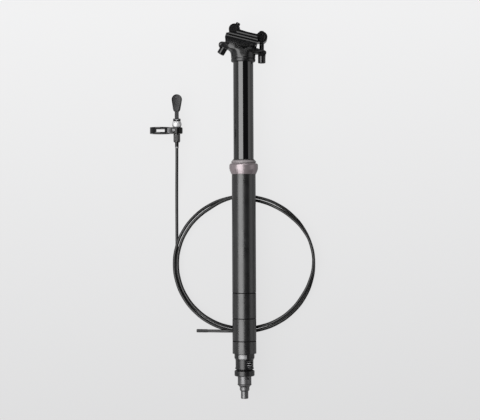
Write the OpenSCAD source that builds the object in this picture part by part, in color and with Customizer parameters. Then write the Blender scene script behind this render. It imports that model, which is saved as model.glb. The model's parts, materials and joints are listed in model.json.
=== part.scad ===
// Dropper seatpost with a cable remote and its coiled housing, laid on a flat surface.
// Millimetres. +Y runs up the post to the saddle, +X to the saddle's nose, +Z up off the surface.
// The origin is on the post's axis, at the end of the tube's bare length.

/* [Post tubes] */
// outside diameter of the tube that goes into the frame
tube_d = 31.6; // [30.9:0.1:34.9]
// wall of that tube
tube_wall = 1.5; // [1.4:0.1:1.8]
// length of that tube below the collar
tube_len = 235.6; // [220:1:300]
// room between the tubes for the bushings
slide_room = 1; // [0.9:0.05:1.2]
// wall of the sliding tube
stanchion_wall = 2.0; // [1.8:0.1:2.2]
// travel of the saddle
drop = 125; // [100:1:125]
// length of sliding tube that stays inside at full height
overlap = 80; // [76:1:84]
// room between wiper and head at full drop
head_gap = 3.8; // [2:0.1:8]
// width of a turned ring line, three times its depth
ring_line = 0.9; // [0.6:0.1:1.2]

/* [Collar and guides] */
// height of the seal collar
collar_h = 15.9; // [14:0.1:18]
// how far the collar's foot stands above the origin
collar_foot = 1.6; // [1:0.1:2]
// how far the collar stands out from the tube
collar_out = 3.2; // [2.6:0.1:3.8]
// how far the tube reaches up into the collar
collar_grip = 8; // [7:0.1:9]
// height of the wiper lip above the collar
wiper_h = 5.3; // [4:0.1:6]
// length of each guide bushing
bushing_len = 18; // [14:1:22]
// width of a guide key
key_w = 4; // [3:0.1:5]
// length of a guide key
key_len = 18; // [14:1:20]

/* [Cartridge] */
// wall of the cartridge tube
cart_wall = 1.4; // [1.2:0.1:1.6]
// diameter of the fixed rod
rod_d = 9; // [8:0.1:9.6]
// diameter of the release pin
pin_d = 3; // [2.6:0.1:3.4]
// length of the piston
piston_len = 12; // [10:0.5:12]
// length of the floating piston
float_len = 10; // [8:0.5:11]

/* [Saddle clamp] */
// nose-down slope of the rails at rest, in degrees
clamp_tilt = 14; // [10:0.5:16]
// diameter of a saddle rail
rail_d = 7; // [7:0.1:7.2]
// distance between the rails
rail_gauge = 44; // [43:0.5:45]
// width of the clamp across both rails
clamp_w = 60; // [58:0.5:62]
// length of the jaws along the rails
jaw_len = 42.4; // [38:0.1:46]
// radius of the cradle's rocking seat
seat_r = 11.5; // [11:0.1:12]
// diameter of the clamp bolts
bolt_d = 6; // [5.6:0.1:6.2]
// diameter of their heads
bolt_head_d = 9.9; // [9:0.1:10]
// diameter of the barrel nuts
nut_d = 11; // [10.4:0.1:11.4]
// length of the barrel nuts
nut_len = 24; // [20:0.5:25]
// width of an ear of the head
ear_w = 15; // [13:0.5:17]
// radius of the head's two side faces
face_r = 46; // [42:1:52]

/* [Actuator] */
// how far the actuator's collar and lock ring stand in from the tube
act_step = 2.5; // [2.2:0.1:3]
// how far its waist stands in from them
waist_step = 1.5; // [1.2:0.1:1.7]
// how far the silver barrel stands in from them
barrel_step = 4.3; // [4.2:0.1:4.8]
// diameter of the housing stop at the tip
tip_d = 9.8; // [8.5:0.1:11]
// diameter of the hole for the housing's ferrule
stop_d = 5.1; // [4.6:0.1:5.6]
// depth of that hole
stop_depth = 9; // [7:0.1:11]
// travel of the coupler
coupler_travel = 3; // [2:0.1:3]

/* [Remote] */
// diameter of the handlebar
bar_d = 22.2; // [22.2:0.1:22.6]
// wall of the clamp ring
ring_wall = 3.1; // [2.8:0.1:3.4]
// width of the clamp ring
ring_w = 8.5; // [7.6:0.1:9]
// diameter of the swivel ball
ball_d = 12.7; // [12:0.1:13]
// largest width of the paddle
paddle_w = 13.8; // [11:0.1:15]
// length of the paddle's pad
paddle_len = 24.1; // [20:0.1:26]
// thickness of the pad
paddle_t = 4.4; // [3.6:0.1:5]
// diameter of the barrel adjuster
adjuster_d = 9.1; // [8.4:0.1:9.6]
// number of flutes round the adjuster
flutes = 14; // [10:1:18]

/* [Cable housing] */
// diameter of the housing
hose_d = 4; // [4:0.1:4.1]
// rise from one layer of loops to the next
layer = 4.5; // [4.5:0.1:4.6]

/* [Which piece] */
// one piece by name, or all of them

/* [Hidden] */

// clearances
run = 0.06;
seat = 0.02;
clear = 0.3;

// post
tube_r = tube_d / 2;
bore_r = tube_r - tube_wall;
st_r = bore_r - slide_room;
st_in = st_r - stanchion_wall;
thread_r = tube_r - 0.4;
pocket_r = tube_r + 0.6;
lip_r = st_r + 1.25;
cap_base = collar_grip + 3;
wiper_top = collar_h + wiper_h;
head_y = wiper_top + drop + head_gap;
st_bot = -overlap;
socket_len = 12.5;
stem_r = st_in - 5.3;
key_low = st_bot + 3;
key_top = key_low + key_len;
key_depth = 1;
groove_depth = 0.6;
bush_low = key_top + 3;
bush_seat = 0.4;

// cartridge
cart_r = st_in - 0.4;
cart_in = cart_r - cart_wall;
cart_low = st_bot + 6;
cart_top = head_y - 8;
gland_top = cart_low + 12;
rod_r = rod_d / 2;
pin_r = pin_d / 2;
piston_low = gland_top + 6;
piston_top = piston_low + piston_len;
cap_low = cart_top - 12;
float_rise = drop * pow(rod_r / cart_in, 2);
float_top = cap_low - float_rise - 8;
float_low = float_top - float_len;

// actuator, measured down from the tube's end
act_y = -tube_len;
act_r = tube_r - act_step;
waist_r = act_r - waist_step;
barrel_r = act_r - barrel_step;
chamber_r = barrel_r + 0.6;
hollow_r = barrel_r - 2.5;
nose_r = hollow_r - 2.5;
window_r = act_r - 2.4;
spigot_top = act_y + 12;
brim_low = act_y - 6.2;
waist_top = act_y - 7.6;
waist_low = act_y - 17.6;
roof_y = act_y - 8.4;
pin_low = roof_y - coupler_travel - 0.4;
stop_y = act_y - 19;
ring_top = act_y - 21.6;
ring_low = act_y - 29.8;
barrel_low = act_y - 40.4;
tip_low = act_y - 59.9;
bar_y = act_y - 24.7;
shoulder = 1.6;

// saddle clamp
floor_z = -clamp_w / 2;
rail_r = rail_d / 2;
rail_z = rail_gauge / 2;
rock = [0, head_y + 28.8];
bolt_r = bolt_d / 2;
nut_r = nut_d / 2;
boss_r = nut_r + 1.9;
front_nut_at = [24.6, head_y + 32];
rear_nut_at = [-11.5, head_y + 42.6];
front_foot = [24.6, head_y + 7.8];
rear_foot = [-25.5, head_y + 18.9];
front_reach = 33.6;
rear_reach = 38.6;
washer_r = bolt_head_d / 2 + 0.1;
crown_w = 2 * rail_z - rail_d - 5.2;
jaw_front = 19;
jaw_rear = jaw_front - jaw_len;

// remote
bar_r = bar_d / 2;
ring_r = bar_r + ring_wall;
remote_z = floor_z + ring_r;
lever_x = -89.1;
bar_x = -110.8;
bar_yc = 60.8;
body_low = bar_yc - ring_w / 2;
body_top = bar_yc + ring_w / 2;
ball_r = ball_d / 2;
ball_y = body_top + 4;
ball_flat = 4;
yoke_low = ball_y + ball_flat;
yoke_top = ball_y + 7.6;
yoke_r = 4.85;
pivot_y = ball_y + 6.2;
pivot_z = -6.6;
pivot_r = 1.1;
knuckle_r = 2.3;
nipple_r = 1.3;
screw_x = -4;
screw_r = 1;
screw_head_r = 1.8;
adj_top = body_low - clear;
adj_low = adj_top - 11.3;
adj_r = adjuster_d / 2;
ferrule_r = 2.44;
ferrule_low = adj_low - 5.8;
pad_low = ball_y + 16.1;
pad_foot_r = 4.9;
pad_top = pad_low + paddle_len;

// cable housing: route points chosen by hand, the loops by a formula
hose_r = hose_d / 2;
lie_z = floor_z + hose_r;
coil_at = [0, -118.05];
coil_rx = 93.65;
coil_ry = 90.9;
coil_turn = 984;
coil_step = 15;
lead_lean = 1;
lead_in = coil_rx + lever_x - lead_lean;
lead_route = [[ferrule_low, 0], [34, 0], [28, 0.02], [20, 0.11], [10, 0.3], [0, 0.52], [-10, 0.71],
  [-20, 0.86], [-32, 0.97], [-44, 1], [-60, 1], [-76, 1], [-92, 1], [-106, 1], [coil_at[1], 1]];
tail_route = [[6.5, -31.95, 0], [0, -32.5, 0], [-5.6, -35.2, 0], [-10, -39.7, 0],
  [-12.7, -45.6, 0], [-13.3, -51, 0], [-13.2, -60, 0], [-12.2, -75, 0.05], [-9.5, -92, 0.25],
  [-5.5, -110, 0.55], [-1, -128, 0.9], [3.5, -146, 1.3], [7.2, -163, 1.65], [9.2, -177, 2],
  [9.6, -189.4, 2.1], [8.5, -195.8, 2.1], [5.4, -201.3, 2.1], [0.6, -205.3, 2.1], [-4.7, -207.3, 2.1],
  [-10, -207.7, 2.1], [-16, -207.7, 2.1], [-24, -207.7, 2], [-34, -207.7, 1.6], [-44, -207.7, 1.15],
  [-49.5, -207.7, 0.91]];
tail_dir = [-5.5, 0, -0.24 * layer];
ferrule_len = 14.6;

// lays a shape that is made along Z down along +Y
module lie() {
  rotate([-90, 0, 0]) children();
}

// a turned piece about the post's axis, from points of radius and height
module turned(points) {
  lie() rotate_extrude($fn = 96) polygon(points);
}

// a plain ring about the post's axis
module ring(r_in, r_out, low, high) {
  turned([[r_in, low], [r_out, low], [r_out, high], [r_in, high]]);
}

// a round bar across the post, centred on the middle plane
module cross(at, r, w, fn = 64) {
  translate([at[0], at[1], -w / 2]) cylinder(r = r, h = w, $fn = fn);
}

// places a shape made along Z at a foot, pointing from one place to another in the middle plane
module aim(from, to) {
  angle = atan2(to[1] - from[1], to[0] - from[0]);
  translate([from[0], from[1], 0]) rotate([0, 0, angle]) rotate([0, 90, 0]) children();
}

// the saddle clamp's own frame: X along the rails, Y away from the post
module clamp_frame() {
  translate([rock[0], rock[1], 0]) rotate([0, 0, -clamp_tilt]) children();
}

// the remote's own frame, on the lever's axis
module remote_frame() {
  translate([lever_x, 0, remote_z]) children();
}

function unit(v) = v / norm(v);
function smooth(x, a, b) = let (t = max(0, min(1, (x - a) / (b - a)))) t * t * (3 - 2 * t);

// a tube along a list of places, of triangles
module hose(path, r, sides, up = [0, 0, 1]) {
  n = len(path);
  rings = [for (i = [0 : n - 1])
    let (t = unit(path[min(i + 1, n - 1)] - path[max(i - 1, 0)]),
         s = unit(cross(up, t)), u = cross(t, s))
    for (k = [0 : sides - 1]) path[i] + r * (cos(360 * k / sides) * s + sin(360 * k / sides) * u)];
  walls = [for (i = [0 : n - 2], k = [0 : sides - 1])
    let (a = i * sides + k, b = i * sides + (k + 1) % sides)
    each [[a, a + sides, b], [b, a + sides, b + sides]]];
  first = [for (k = [1 : sides - 2]) [0, k, k + 1]];
  last = [for (k = [1 : sides - 2]) let (e = (n - 1) * sides) [e, e + k + 1, e + k]];
  polyhedron(points = rings, faces = concat(walls, first, last), convexity = 12);
}

// outer tube

module outer_tube() {
  color([0.1, 0.1, 0.11]) difference() {
    union() {
      ring(bore_r, tube_r, act_y, collar_foot);
      ring(bore_r, thread_r, -1, collar_grip);
    }
    for (low = [155.7, 189.5, 219.3]) ring(tube_r - ring_line / 3, tube_r + 1, -low, -low + ring_line);
    for (a = [0, 120, 240]) lie() rotate(a)
      translate([-key_w / 2 - clear / 2, bore_r - 1, act_y - 1])
        cube([key_w + clear, 1 + groove_depth, key_top + clear - act_y + 1]);
  }
}

module seal_collar() {
  out = tube_r + collar_out;
  foot = collar_foot + seat;
  color([0.45, 0.38, 0.4]) turned([[thread_r + seat, foot], [tube_r + 0.3, foot], [tube_r + 0.9, foot + 1.2],
    [tube_r + 1.8, 4.9], [out - 0.6, collar_h - 9], [out - 0.1, collar_h - 7.2], [out, collar_h - 5.4],
    [out, collar_h - 2.7], [out - 0.25, collar_h - 1.5], [out - 0.8, collar_h - 0.6], [out - 1.6, collar_h],
    [pocket_r, collar_h], [pocket_r, cap_base], [bore_r - 0.3, cap_base],
    [bore_r - 0.3, collar_grip + seat], [thread_r + seat, collar_grip + seat]]);
}

module seal_cap() {
  base = cap_base + seat;
  brim = tube_r + 0.9;
  color([0.4, 0.36, 0.37]) turned([[lip_r, base], [pocket_r - seat, base], [pocket_r - seat, collar_h - 0.6],
    [thread_r + 0.15, collar_h - 0.6], [thread_r + 0.15, collar_h + 0.3], [brim - 0.2, collar_h + 0.3],
    [brim, collar_h + 0.6], [brim, collar_h + 1.9], [brim - 0.3, collar_h + 2.4],
    [lip_r + 0.3, wiper_top - 1], [lip_r, wiper_top - 1]]);
}

module wiper_seal() {
  base = cap_base + seat;
  color([0.05, 0.05, 0.05]) turned([[st_r + 0.5, base], [lip_r - seat, base], [lip_r - seat, wiper_top - 0.9],
    [st_r + 0.9, wiper_top], [st_r + run, wiper_top], [st_r + run, wiper_top - 1.2],
    [st_r + 0.5, wiper_top - 2.4]]);
}

module foam_ring() {
  color([0.7, 0.6, 0.2]) ring(st_r + run, bore_r - run, 0, collar_grip - clear);
}

// a bushing with a skew split
module bushing(r_in, r_out, low, high) {
  difference() {
    ring(r_in, r_out, low, high);
    translate([0, (low + high) / 2, r_out]) rotate([0, 20, 0]) cube([1.2, high - low + 12, 6], center = true);
  }
}

module upper_bushing() {
  color([0.85, 0.85, 0.8]) bushing(st_r + run, bore_r - seat, -clear - bushing_len, -clear);
}

// sliding tube and head

module stanchion() {
  color([0.03, 0.03, 0.035]) difference() {
    ring(st_in, st_r, st_bot, head_y + socket_len);
    ring(st_r - bush_seat, st_r + 1, bush_low, bush_low + bushing_len);
    ring(st_in - 1, st_in + 0.75, st_bot + 1.6, st_bot + 3);
    for (a = [0, 120, 240]) lie() rotate(a) translate([-key_w / 2 - seat, st_r - key_depth, key_low - seat])
      cube([key_w + 2 * seat, 4, key_len + 2 * seat]);
  }
}

module guide_keys() {
  color([0.75, 0.6, 0.25]) for (a = [0, 120, 240]) lie() rotate(a)
    translate([-key_w / 2, st_r - key_depth + seat, key_low])
      cube([key_w, bore_r + groove_depth - 0.15 - st_r + key_depth - seat, key_len]);
}

module lower_bushing() {
  color([0.85, 0.85, 0.8])
    bushing(st_r - bush_seat + seat, bore_r - run, bush_low + seat, bush_low + bushing_len - seat);
}

// the room between the head's two curved side faces
module side_faces() {
  intersection() {
    translate([-1, head_y, crown_w / 2 - face_r]) lie() cylinder(r = face_r, h = 40, $fn = 192);
    translate([-1, head_y, face_r - crown_w / 2]) lie() cylinder(r = face_r, h = 40, $fn = 192);
  }
}

module post_head() {
  y = head_y;
  neck_r = st_r + 2.9;
  color([0.09, 0.09, 0.1]) difference() {
    union() {
      turned([[0, y], [st_r + 1.6, y], [st_r + 2.6, y + 0.8], [neck_r, y + 1.8], [neck_r, y + 4.2],
        [neck_r - 0.6, y + 4.7], [neck_r - 0.6, y + 5.3], [neck_r, y + 5.9], [neck_r - 0.1, y + 10],
        [0, y + 10]]);
      intersection() {
        side_faces();
        union() {
          turned([[0, y + 9], [neck_r - 0.1, y + 9], [neck_r + 0.3, y + 11], [neck_r + 1.3, y + 12.7],
            [neck_r + 3, y + 14.1], [neck_r + 5.3, y + 15.3], [0, y + 15.3]]);
          translate([0, y, -crown_w]) linear_extrude(2 * crown_w) polygon([[-21.5, 15.2], [-25.6, 17.1],
            [-28, 19], [-31.5, 23], [-29, 27], [-18, 26.2], [-8, 24.6], [4, 22], [12, 19.6], [20, 16.8],
            [24, 15.9], [29, 15.5], [30.4, 12.6], [28.5, 9.8], [24.5, 9.9], [21, 11.3], [18, 11.6],
            [15, 11], [0, 10], [-15, 11]]);
        }
      }
      hull() {
        cross([-28, y + 22.9], 4.5, ear_w - 3, 48);
        cross([-28, y + 22.9], 3.4, ear_w, 48);
        cross([-11, y + 18.5], 6, ear_w + 5, 48);
        cross([-11, y + 18.5], 4.6, ear_w + 8, 48);
      }
      hull() {
        cross([27.4, y + 12.4], 3.5, ear_w - 3, 48);
        cross([27.4, y + 12.4], 2.4, ear_w, 48);
        cross([11, y + 15.6], 3.8, ear_w + 5, 48);
        cross([11, y + 15.6], 2.6, ear_w + 8, 48);
      }
    }
    cross(rock, seat_r + run, 2 * crown_w, 128);
    cross(front_foot, washer_r + run, 2 * crown_w, 96);
    cross(rear_foot, washer_r + run, 2 * crown_w, 96);
    aim(front_foot, front_nut_at) cylinder(r = bolt_r + 1, h = 40, $fn = 48);
    aim(rear_foot, rear_nut_at) cylinder(r = bolt_r + 1, h = 40, $fn = 48);
    aim(front_nut_at, front_foot) translate([0, 0, norm(front_nut_at - front_foot)])
      cylinder(r = bolt_head_d / 2 + 0.9, h = 30, $fn = 64);
    aim(rear_nut_at, rear_foot) translate([0, 0, norm(rear_nut_at - rear_foot)])
      cylinder(r = bolt_head_d / 2 + 0.9, h = 30, $fn = 64);
    ring(0, st_r + seat, y - 1, y + socket_len + seat);
  }
}

// cartridge

module cartridge_tube() {
  color([0.7, 0.7, 0.72]) ring(cart_in, cart_r, cart_low, cart_top);
}

module cartridge_gland() {
  color([0.6, 0.6, 0.62]) difference() {
    union() {
      ring(rod_r + run, st_in - 0.05, st_bot + 3, cart_low);
      ring(rod_r + run, cart_in - seat, cart_low, gland_top);
    }
    ring(0, rod_r + 2, cart_low + 3, cart_low + 6);
  }
}

module rod_seal() {
  color([0.1, 0.1, 0.1]) ring(rod_r + 0.03, rod_r + 2 - seat, cart_low + 3 + seat, cart_low + 6 - seat);
}

module cartridge_circlip() {
  color([0.6, 0.6, 0.6]) difference() {
    ring(st_in - 1.8, st_in + 0.7, st_bot + 1.7, st_bot + 2.9);
    translate([0, st_bot + 2, st_in]) cube([7, 6, 8], center = true);
  }
}

module cartridge_cap() {
  color([0.6, 0.6, 0.62]) turned([[0, cap_low], [cart_in - seat, cap_low], [cart_in - seat, cart_top],
    [st_in - 0.05, cart_top], [st_in - 0.05, cart_top + 4], [stem_r, cart_top + 4],
    [stem_r, head_y + socket_len - seat], [0, head_y + socket_len - seat]]);
}

module piston_rod() {
  color([0.8, 0.8, 0.82]) ring(pin_r + run, rod_r, roof_y, piston_top);
}

module piston() {
  color([0.75, 0.65, 0.4]) difference() {
    ring(rod_r + seat, cart_in - run, piston_low, piston_top);
    ring(cart_in - 2, cart_in + 1, piston_low + 4, piston_top - 4);
  }
}

module piston_seal() {
  color([0.1, 0.1, 0.1])
    ring(cart_in - 2 + seat, cart_in - 0.03, piston_low + 4 + seat, piston_top - 4 - seat);
}

module floating_piston() {
  color([0.75, 0.65, 0.4]) difference() {
    ring(0, cart_in - run, float_low, float_top);
    ring(cart_in - 2, cart_in + 1, float_low + 3, float_top - 3);
    ring(0, cart_in - 4, float_top - 4, float_top + 1);
  }
}

module floating_seal() {
  color([0.1, 0.1, 0.1]) ring(cart_in - 2 + seat, cart_in - 0.03, float_low + 3 + seat, float_top - 3 - seat);
}

module release_pin() {
  color([0.8, 0.8, 0.82]) ring(0, pin_r, pin_low, piston_top - coupler_travel - clear);
}

// saddle clamp

// both jaws of one side of the rails, from points of distance across and height
module jaws(points) {
  for (s = [0, 1]) mirror([0, 0, s]) translate([jaw_rear, 0, 0]) rotate([0, 90, 0])
    linear_extrude(jaw_len) polygon(points);
}

// the two rail grooves
module rails() {
  for (s = [-1, 1]) translate([jaw_rear - 5, 0, s * rail_z]) rotate([0, 90, 0])
    cylinder(r = rail_r, h = jaw_len + 10, $fn = 96);
}

module lower_cradle() {
  inner = crown_w / 2 + 0.4;
  outer = clamp_w / 2;
  color([0.12, 0.12, 0.13]) clamp_frame() difference() {
    union() {
      intersection() {
        cross([0, 0], seat_r, crown_w + 6, 128);
        translate([-20, -20.5, -30]) cube([40, 20, 60]);
      }
      jaws([[inner, -0.5], [outer - 0.8, -0.5], [outer, -1.3], [outer, -3.6],
        [outer - 2.6, -rail_r - 2.9], [inner + 2, -rail_r - 2.9], [inner, -rail_r - 1.4]]);
    }
    rails();
    for (s = [-1, 1]) translate([jaw_front, -6.4, s * rail_z]) rotate(45) cube([3, 3, 30], center = true);
    for (s = [-1, 1]) translate([jaw_rear, -6.4, s * rail_z]) rotate(45) cube([3, 3, 30], center = true);
  }
}

function to_clamp(p) = let (d = p - rock) [d[0] * cos(clamp_tilt) - d[1] * sin(clamp_tilt),
  d[0] * sin(clamp_tilt) + d[1] * cos(clamp_tilt)];

module upper_clamp() {
  inner = crown_w / 2 + 0.4;
  outer = clamp_w / 2;
  f = to_clamp(front_nut_at);
  r = to_clamp(rear_nut_at);
  color([0.12, 0.12, 0.13]) difference() {
    clamp_frame() difference() {
      union() {
        jaws([[nut_len / 2 - 2, 0.5], [outer - 0.8, 0.5], [outer, 1.3], [outer, 3.4],
          [outer - 3, rail_r + 2.6], [inner - 3, rail_r + 4.4], [nut_len / 2 - 2, rail_r + 4.4]]);
        translate([0, 0, -nut_len / 2]) linear_extrude(nut_len) polygon([[r[0] - 5.5, 0.5],
          [r[0] - 5.5, r[1]], [r[0] + 3, r[1] + 4], [r[0] + 8, r[1] + 1.2], [2.5, 11.2],
          [f[0] - 8, 11.4], [f[0] - 3, f[1] + 4], [f[0] + 5, f[1]], [f[0] + 3, f[1] - 5],
          [f[0] - 5, 0.5]]);
        cross(f, boss_r, nut_len, 96);
        cross(r, boss_r, nut_len, 96);
      }
      rails();
    }
    cross(front_nut_at, nut_r + run, 2 * nut_len, 96);
    cross(rear_nut_at, nut_r + run, 2 * nut_len, 96);
    aim(front_nut_at, front_foot) cylinder(r = bolt_r + 1.4, h = 40, $fn = 64);
    aim(front_foot, front_nut_at) cylinder(r = bolt_r + 1.1, h = 60, $fn = 64);
    aim(rear_nut_at, rear_foot) cylinder(r = bolt_r + 1.9, h = 40, $fn = 64);
    aim(rear_foot, rear_nut_at) cylinder(r = bolt_r + 1.1, h = 60, $fn = 64);
  }
}

// a barrel nut with its cross hole
module barrel_nut(at, foot) {
  color([0.2, 0.2, 0.21]) difference() {
    cross(at, nut_r, nut_len, 96);
    aim(foot, at) cylinder(r = bolt_r + 0.35, h = 60, $fn = 64);
    for (s = [-1, 1]) translate([at[0], at[1], s * nut_len / 2])
      cylinder(r = nut_r - 2, h = 2, center = true, $fn = 64);
  }
}

module front_nut() {
  barrel_nut(front_nut_at, front_foot);
}

module rear_nut() {
  barrel_nut(rear_nut_at, rear_foot);
}

// a socket-head bolt along Z from the seat of its washer
module socket_bolt(reach) {
  color([0.14, 0.14, 0.15]) difference() {
    union() {
      cylinder(r = bolt_r, h = reach - 0.8, $fn = 64);
      translate([0, 0, reach - 0.8]) cylinder(r1 = bolt_r, r2 = bolt_r - 0.8, h = 0.8, $fn = 64);
      translate([0, 0, -8.6]) cylinder(r = bolt_head_d / 2, h = 8.6, $fn = 64);
      translate([0, 0, -9.3]) cylinder(r1 = bolt_head_d / 2 - 0.7, r2 = bolt_head_d / 2, h = 0.7, $fn = 64);
    }
    translate([0, 0, -9.4]) cylinder(r = 2.9, h = 5, $fn = 6);
  }
}

module front_bolt() {
  aim(front_foot, front_nut_at) socket_bolt(front_reach);
}

module rear_bolt() {
  aim(rear_foot, rear_nut_at) socket_bolt(rear_reach);
}

// a half-round washer
module half_washer(foot, at) {
  color([0.16, 0.16, 0.17]) difference() {
    cross(foot, washer_r, ear_w - 4, 96);
    aim(at, foot) translate([0, 0, norm(at - foot) - seat]) cylinder(r = 20, h = 20);
    aim(foot, at) translate([0, 0, -1]) cylinder(r = bolt_r + 0.15, h = 20, $fn = 64);
  }
}

module front_washer() {
  half_washer(front_foot, front_nut_at);
}

module rear_washer() {
  half_washer(rear_foot, rear_nut_at);
}

// actuator

// the clip's window, seen from above, drawn in by a gap
module clip_window(gap) {
  left = -8.2 + gap;
  right = 3.2 - gap;
  high = act_y - 1.2 - gap;
  low = waist_top + gap;
  translate([0, 0, window_r - 4]) linear_extrude(10) polygon([[left, high], [right, high],
    [right, low + 1.6], [right - 1.6, low], [left + 1.6, low], [left, low + 1.6]]);
}

module actuator_housing() {
  y = act_y;
  color([0.06, 0.06, 0.065]) difference() {
    turned([[rod_r + seat, spigot_top], [bore_r - 1, spigot_top], [bore_r - seat, spigot_top - 1],
      [bore_r - seat, y + 0.5], [act_r, y - 0.4], [act_r, brim_low], [waist_r + 0.4, waist_top],
      [waist_r + 0.05, waist_top - 1.6], [waist_r, waist_low], [waist_r + 0.4, waist_low - 1.8],
      [act_r - 0.6, ring_top + 0.4], [act_r - 0.6, ring_top], [chamber_r, ring_top], [chamber_r, roof_y],
      [rod_r + seat, roof_y]]);
    intersection() {
      clip_window(0);
      ring(window_r, act_r + 2, y - 8, y);
    }
    translate([3.2, stop_y + 0.4, 2]) cube([waist_r - 3.8, roof_y - stop_y - 1.4, act_r]);
  }
}

module retaining_clip() {
  y = act_y;
  color([0.85, 0.85, 0.87]) intersection() {
    clip_window(seat);
    turned([[window_r + seat, y - 8], [waist_r + 0.15, y - 8], [waist_r + 0.15, waist_top],
      [act_r - 0.35, brim_low], [act_r - 0.35, y - 1], [window_r + seat, y - 1]]);
  }
}

module lock_ring() {
  color([0.06, 0.06, 0.065]) difference() {
    union() {
      ring(barrel_r + run, chamber_r - seat, ring_top - 0.1, stop_y);
      turned([[barrel_r + run, ring_top], [act_r - 0.5, ring_top], [act_r, ring_top - 0.7],
        [act_r, ring_low + 0.8], [act_r - 0.8, ring_low], [barrel_r + run, ring_low]]);
    }
    translate([0, bar_y, 0]) rotate([0, 90, 0])
      cylinder(r = 1.5 + seat, h = 2 * act_r - 2, center = true, $fn = 48);
  }
}

module nipple_bar() {
  color([0.75, 0.75, 0.77]) translate([0, bar_y, 0]) rotate([0, 90, 0])
    cylinder(r = 1.5, h = 2 * act_r - 2.1, center = true, $fn = 48);
}

module return_spring() {
  wire = 0.7;
  mean = chamber_r - wire - 0.15;
  low = stop_y + shoulder + clear + wire + 0.1;
  high = roof_y - wire - 0.1;
  turns = 2.25;
  step = (high - low) / (12 * turns);
  path = [for (i = [0 : 12 * turns]) [mean * cos(30 * i), low + step * i, mean * sin(30 * i)]];
  color([0.6, 0.6, 0.62]) hose(path, wire, 8, [0, 1, 0]);
}

module cable_coupler() {
  top = stop_y + clear;
  color([0.75, 0.75, 0.77]) difference() {
    turned([[hollow_r, barrel_low], [barrel_r - 0.4, barrel_low], [barrel_r, barrel_low + 0.4],
      [barrel_r, top],
      [chamber_r - run, top], [chamber_r - run, top + shoulder], [nose_r, top + shoulder],
      [nose_r, pin_low - 0.1],
      [0, pin_low - 0.1], [0, top], [hollow_r, top]]);
    translate([0, bar_y - coupler_travel / 2, 0])
      cube([2 * barrel_r + 4, coupler_travel + 3.6, 3.6], center = true);
    aim_screw() translate([0, 0, barrel_r - 2.6]) cylinder(r = 1.6 + seat, h = 6, $fn = 48);
  }
}

// the small screw's radial place on the barrel
module aim_screw() {
  translate([0, act_y - 32.9, 0]) rotate([0, 32, 0]) children();
}

module coupler_screw() {
  color([0.2, 0.2, 0.2]) difference() {
    aim_screw() translate([0, 0, barrel_r - 2.5]) cylinder(r = 1.6, h = 2.2, $fn = 48);
    aim_screw() translate([0, 0, barrel_r - 1.6]) cylinder(r = 0.9, h = 3, $fn = 6);
  }
}

module coupler_tip() {
  tip_r = tip_d / 2;
  b = barrel_low;
  color([0.72, 0.72, 0.74]) difference() {
    turned([[0.9, b + 6], [hollow_r - seat, b + 6], [hollow_r - seat, b], [barrel_r - 0.1, b],
      [barrel_r + 0.4, b - 0.5], [barrel_r + 0.4, b - 1], [barrel_r - 0.8, b - 2],
      [tip_r + 2.2, b - 3.4], [tip_r + 1.5, b - 4.2],
      [tip_r + 1.5, b - 8], [tip_r + 0.5, b - 9.4], [tip_r, b - 10.2], [tip_r, tip_low + 0.5],
      [tip_r - 0.5, tip_low], [0.9, tip_low]]);
    ring(0, stop_d / 2, tip_low - 1, tip_low + stop_depth);
  }
}

// remote

module bar_clamp() {
  cx = bar_x - lever_x;
  color([0.07, 0.07, 0.075]) remote_frame() difference() {
    union() {
      translate([cx, body_low, 0]) lie() cylinder(r = ring_r, h = ring_w, $fn = 128);
      translate([0.4, 0, 0]) turned([[0, body_low], [6.4, body_low], [7.1, body_low + 0.4],
        [7.4, body_low + 1.2], [7.4, body_top - 1.2], [7.1, body_top - 0.4], [6.4, body_top], [0, body_top]]);
      translate([cx + bar_r - 1, body_low, -5.6]) cube([-cx - bar_r + 1, ring_w, 11.2]);
    }
    translate([cx, body_low - 1, 0]) lie() cylinder(r = bar_r, h = ring_w + 2, $fn = 128);
    translate([cx, bar_yc, 0]) cube([12.4, ring_w - 3.5, 3 * ring_r], center = true);
    translate([0, ball_y, 0]) sphere(r = ball_r + run, $fn = 96);
    translate([cx, body_low - 1, -0.6]) cube([40, ring_w + 2, 1.2]);
    translate([0, body_low - 1, 0]) lie() cylinder(r = 2.9 + run, h = 4.2, $fn = 64);
    translate([0, body_low, 0]) lie() cylinder(r = 1.2, h = 20, $fn = 32);
    translate([screw_x, bar_yc + 0.6, -20]) cylinder(r = screw_r + seat, h = 40, $fn = 48);
    translate([screw_x, bar_yc + 0.6, 4]) cylinder(r = screw_head_r + 0.2, h = 10, $fn = 48);
  }
}

module clamp_bolt() {
  color([0.8, 0.8, 0.82]) remote_frame() translate([screw_x, bar_yc + 0.6, 0]) difference() {
    union() {
      translate([0, 0, -5.4]) cylinder(r = screw_r, h = 10, $fn = 48);
      translate([0, 0, 4 + seat]) cylinder(r = screw_head_r, h = 2, $fn = 48);
    }
    translate([0, 0, 5]) cylinder(r = screw_head_r - 0.8, h = 4, $fn = 6);
  }
}

// a short strap on the ring's near shoulder
module clamp_shoe() {
  cx = bar_x - lever_x;
  color([0.8, 0.8, 0.82]) remote_frame() intersection() {
    translate([cx, body_low + 0.8, 0]) difference() {
      lie() cylinder(r = ring_r + 1, h = ring_w - 1.6, $fn = 128);
      translate([0, -1, 0]) lie() cylinder(r = ring_r + seat, h = ring_w, $fn = 128);
    }
    translate([cx + ring_r * cos(47), 0, 2]) cube([ring_r, 100, ring_r * cos(44) + 1]);
    translate([cx, 0, 5.6 + seat]) cube([40, 100, 20]);
  }
}

module swivel_ball() {
  color([0.8, 0.8, 0.82]) remote_frame() lie() rotate_extrude($fn = 96)
    translate([0, ball_y]) intersection() {
      circle(r = ball_r, $fn = 96);
      translate([1.15, -ball_r]) square([ball_r, ball_r + ball_flat]);
    }
}

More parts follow.
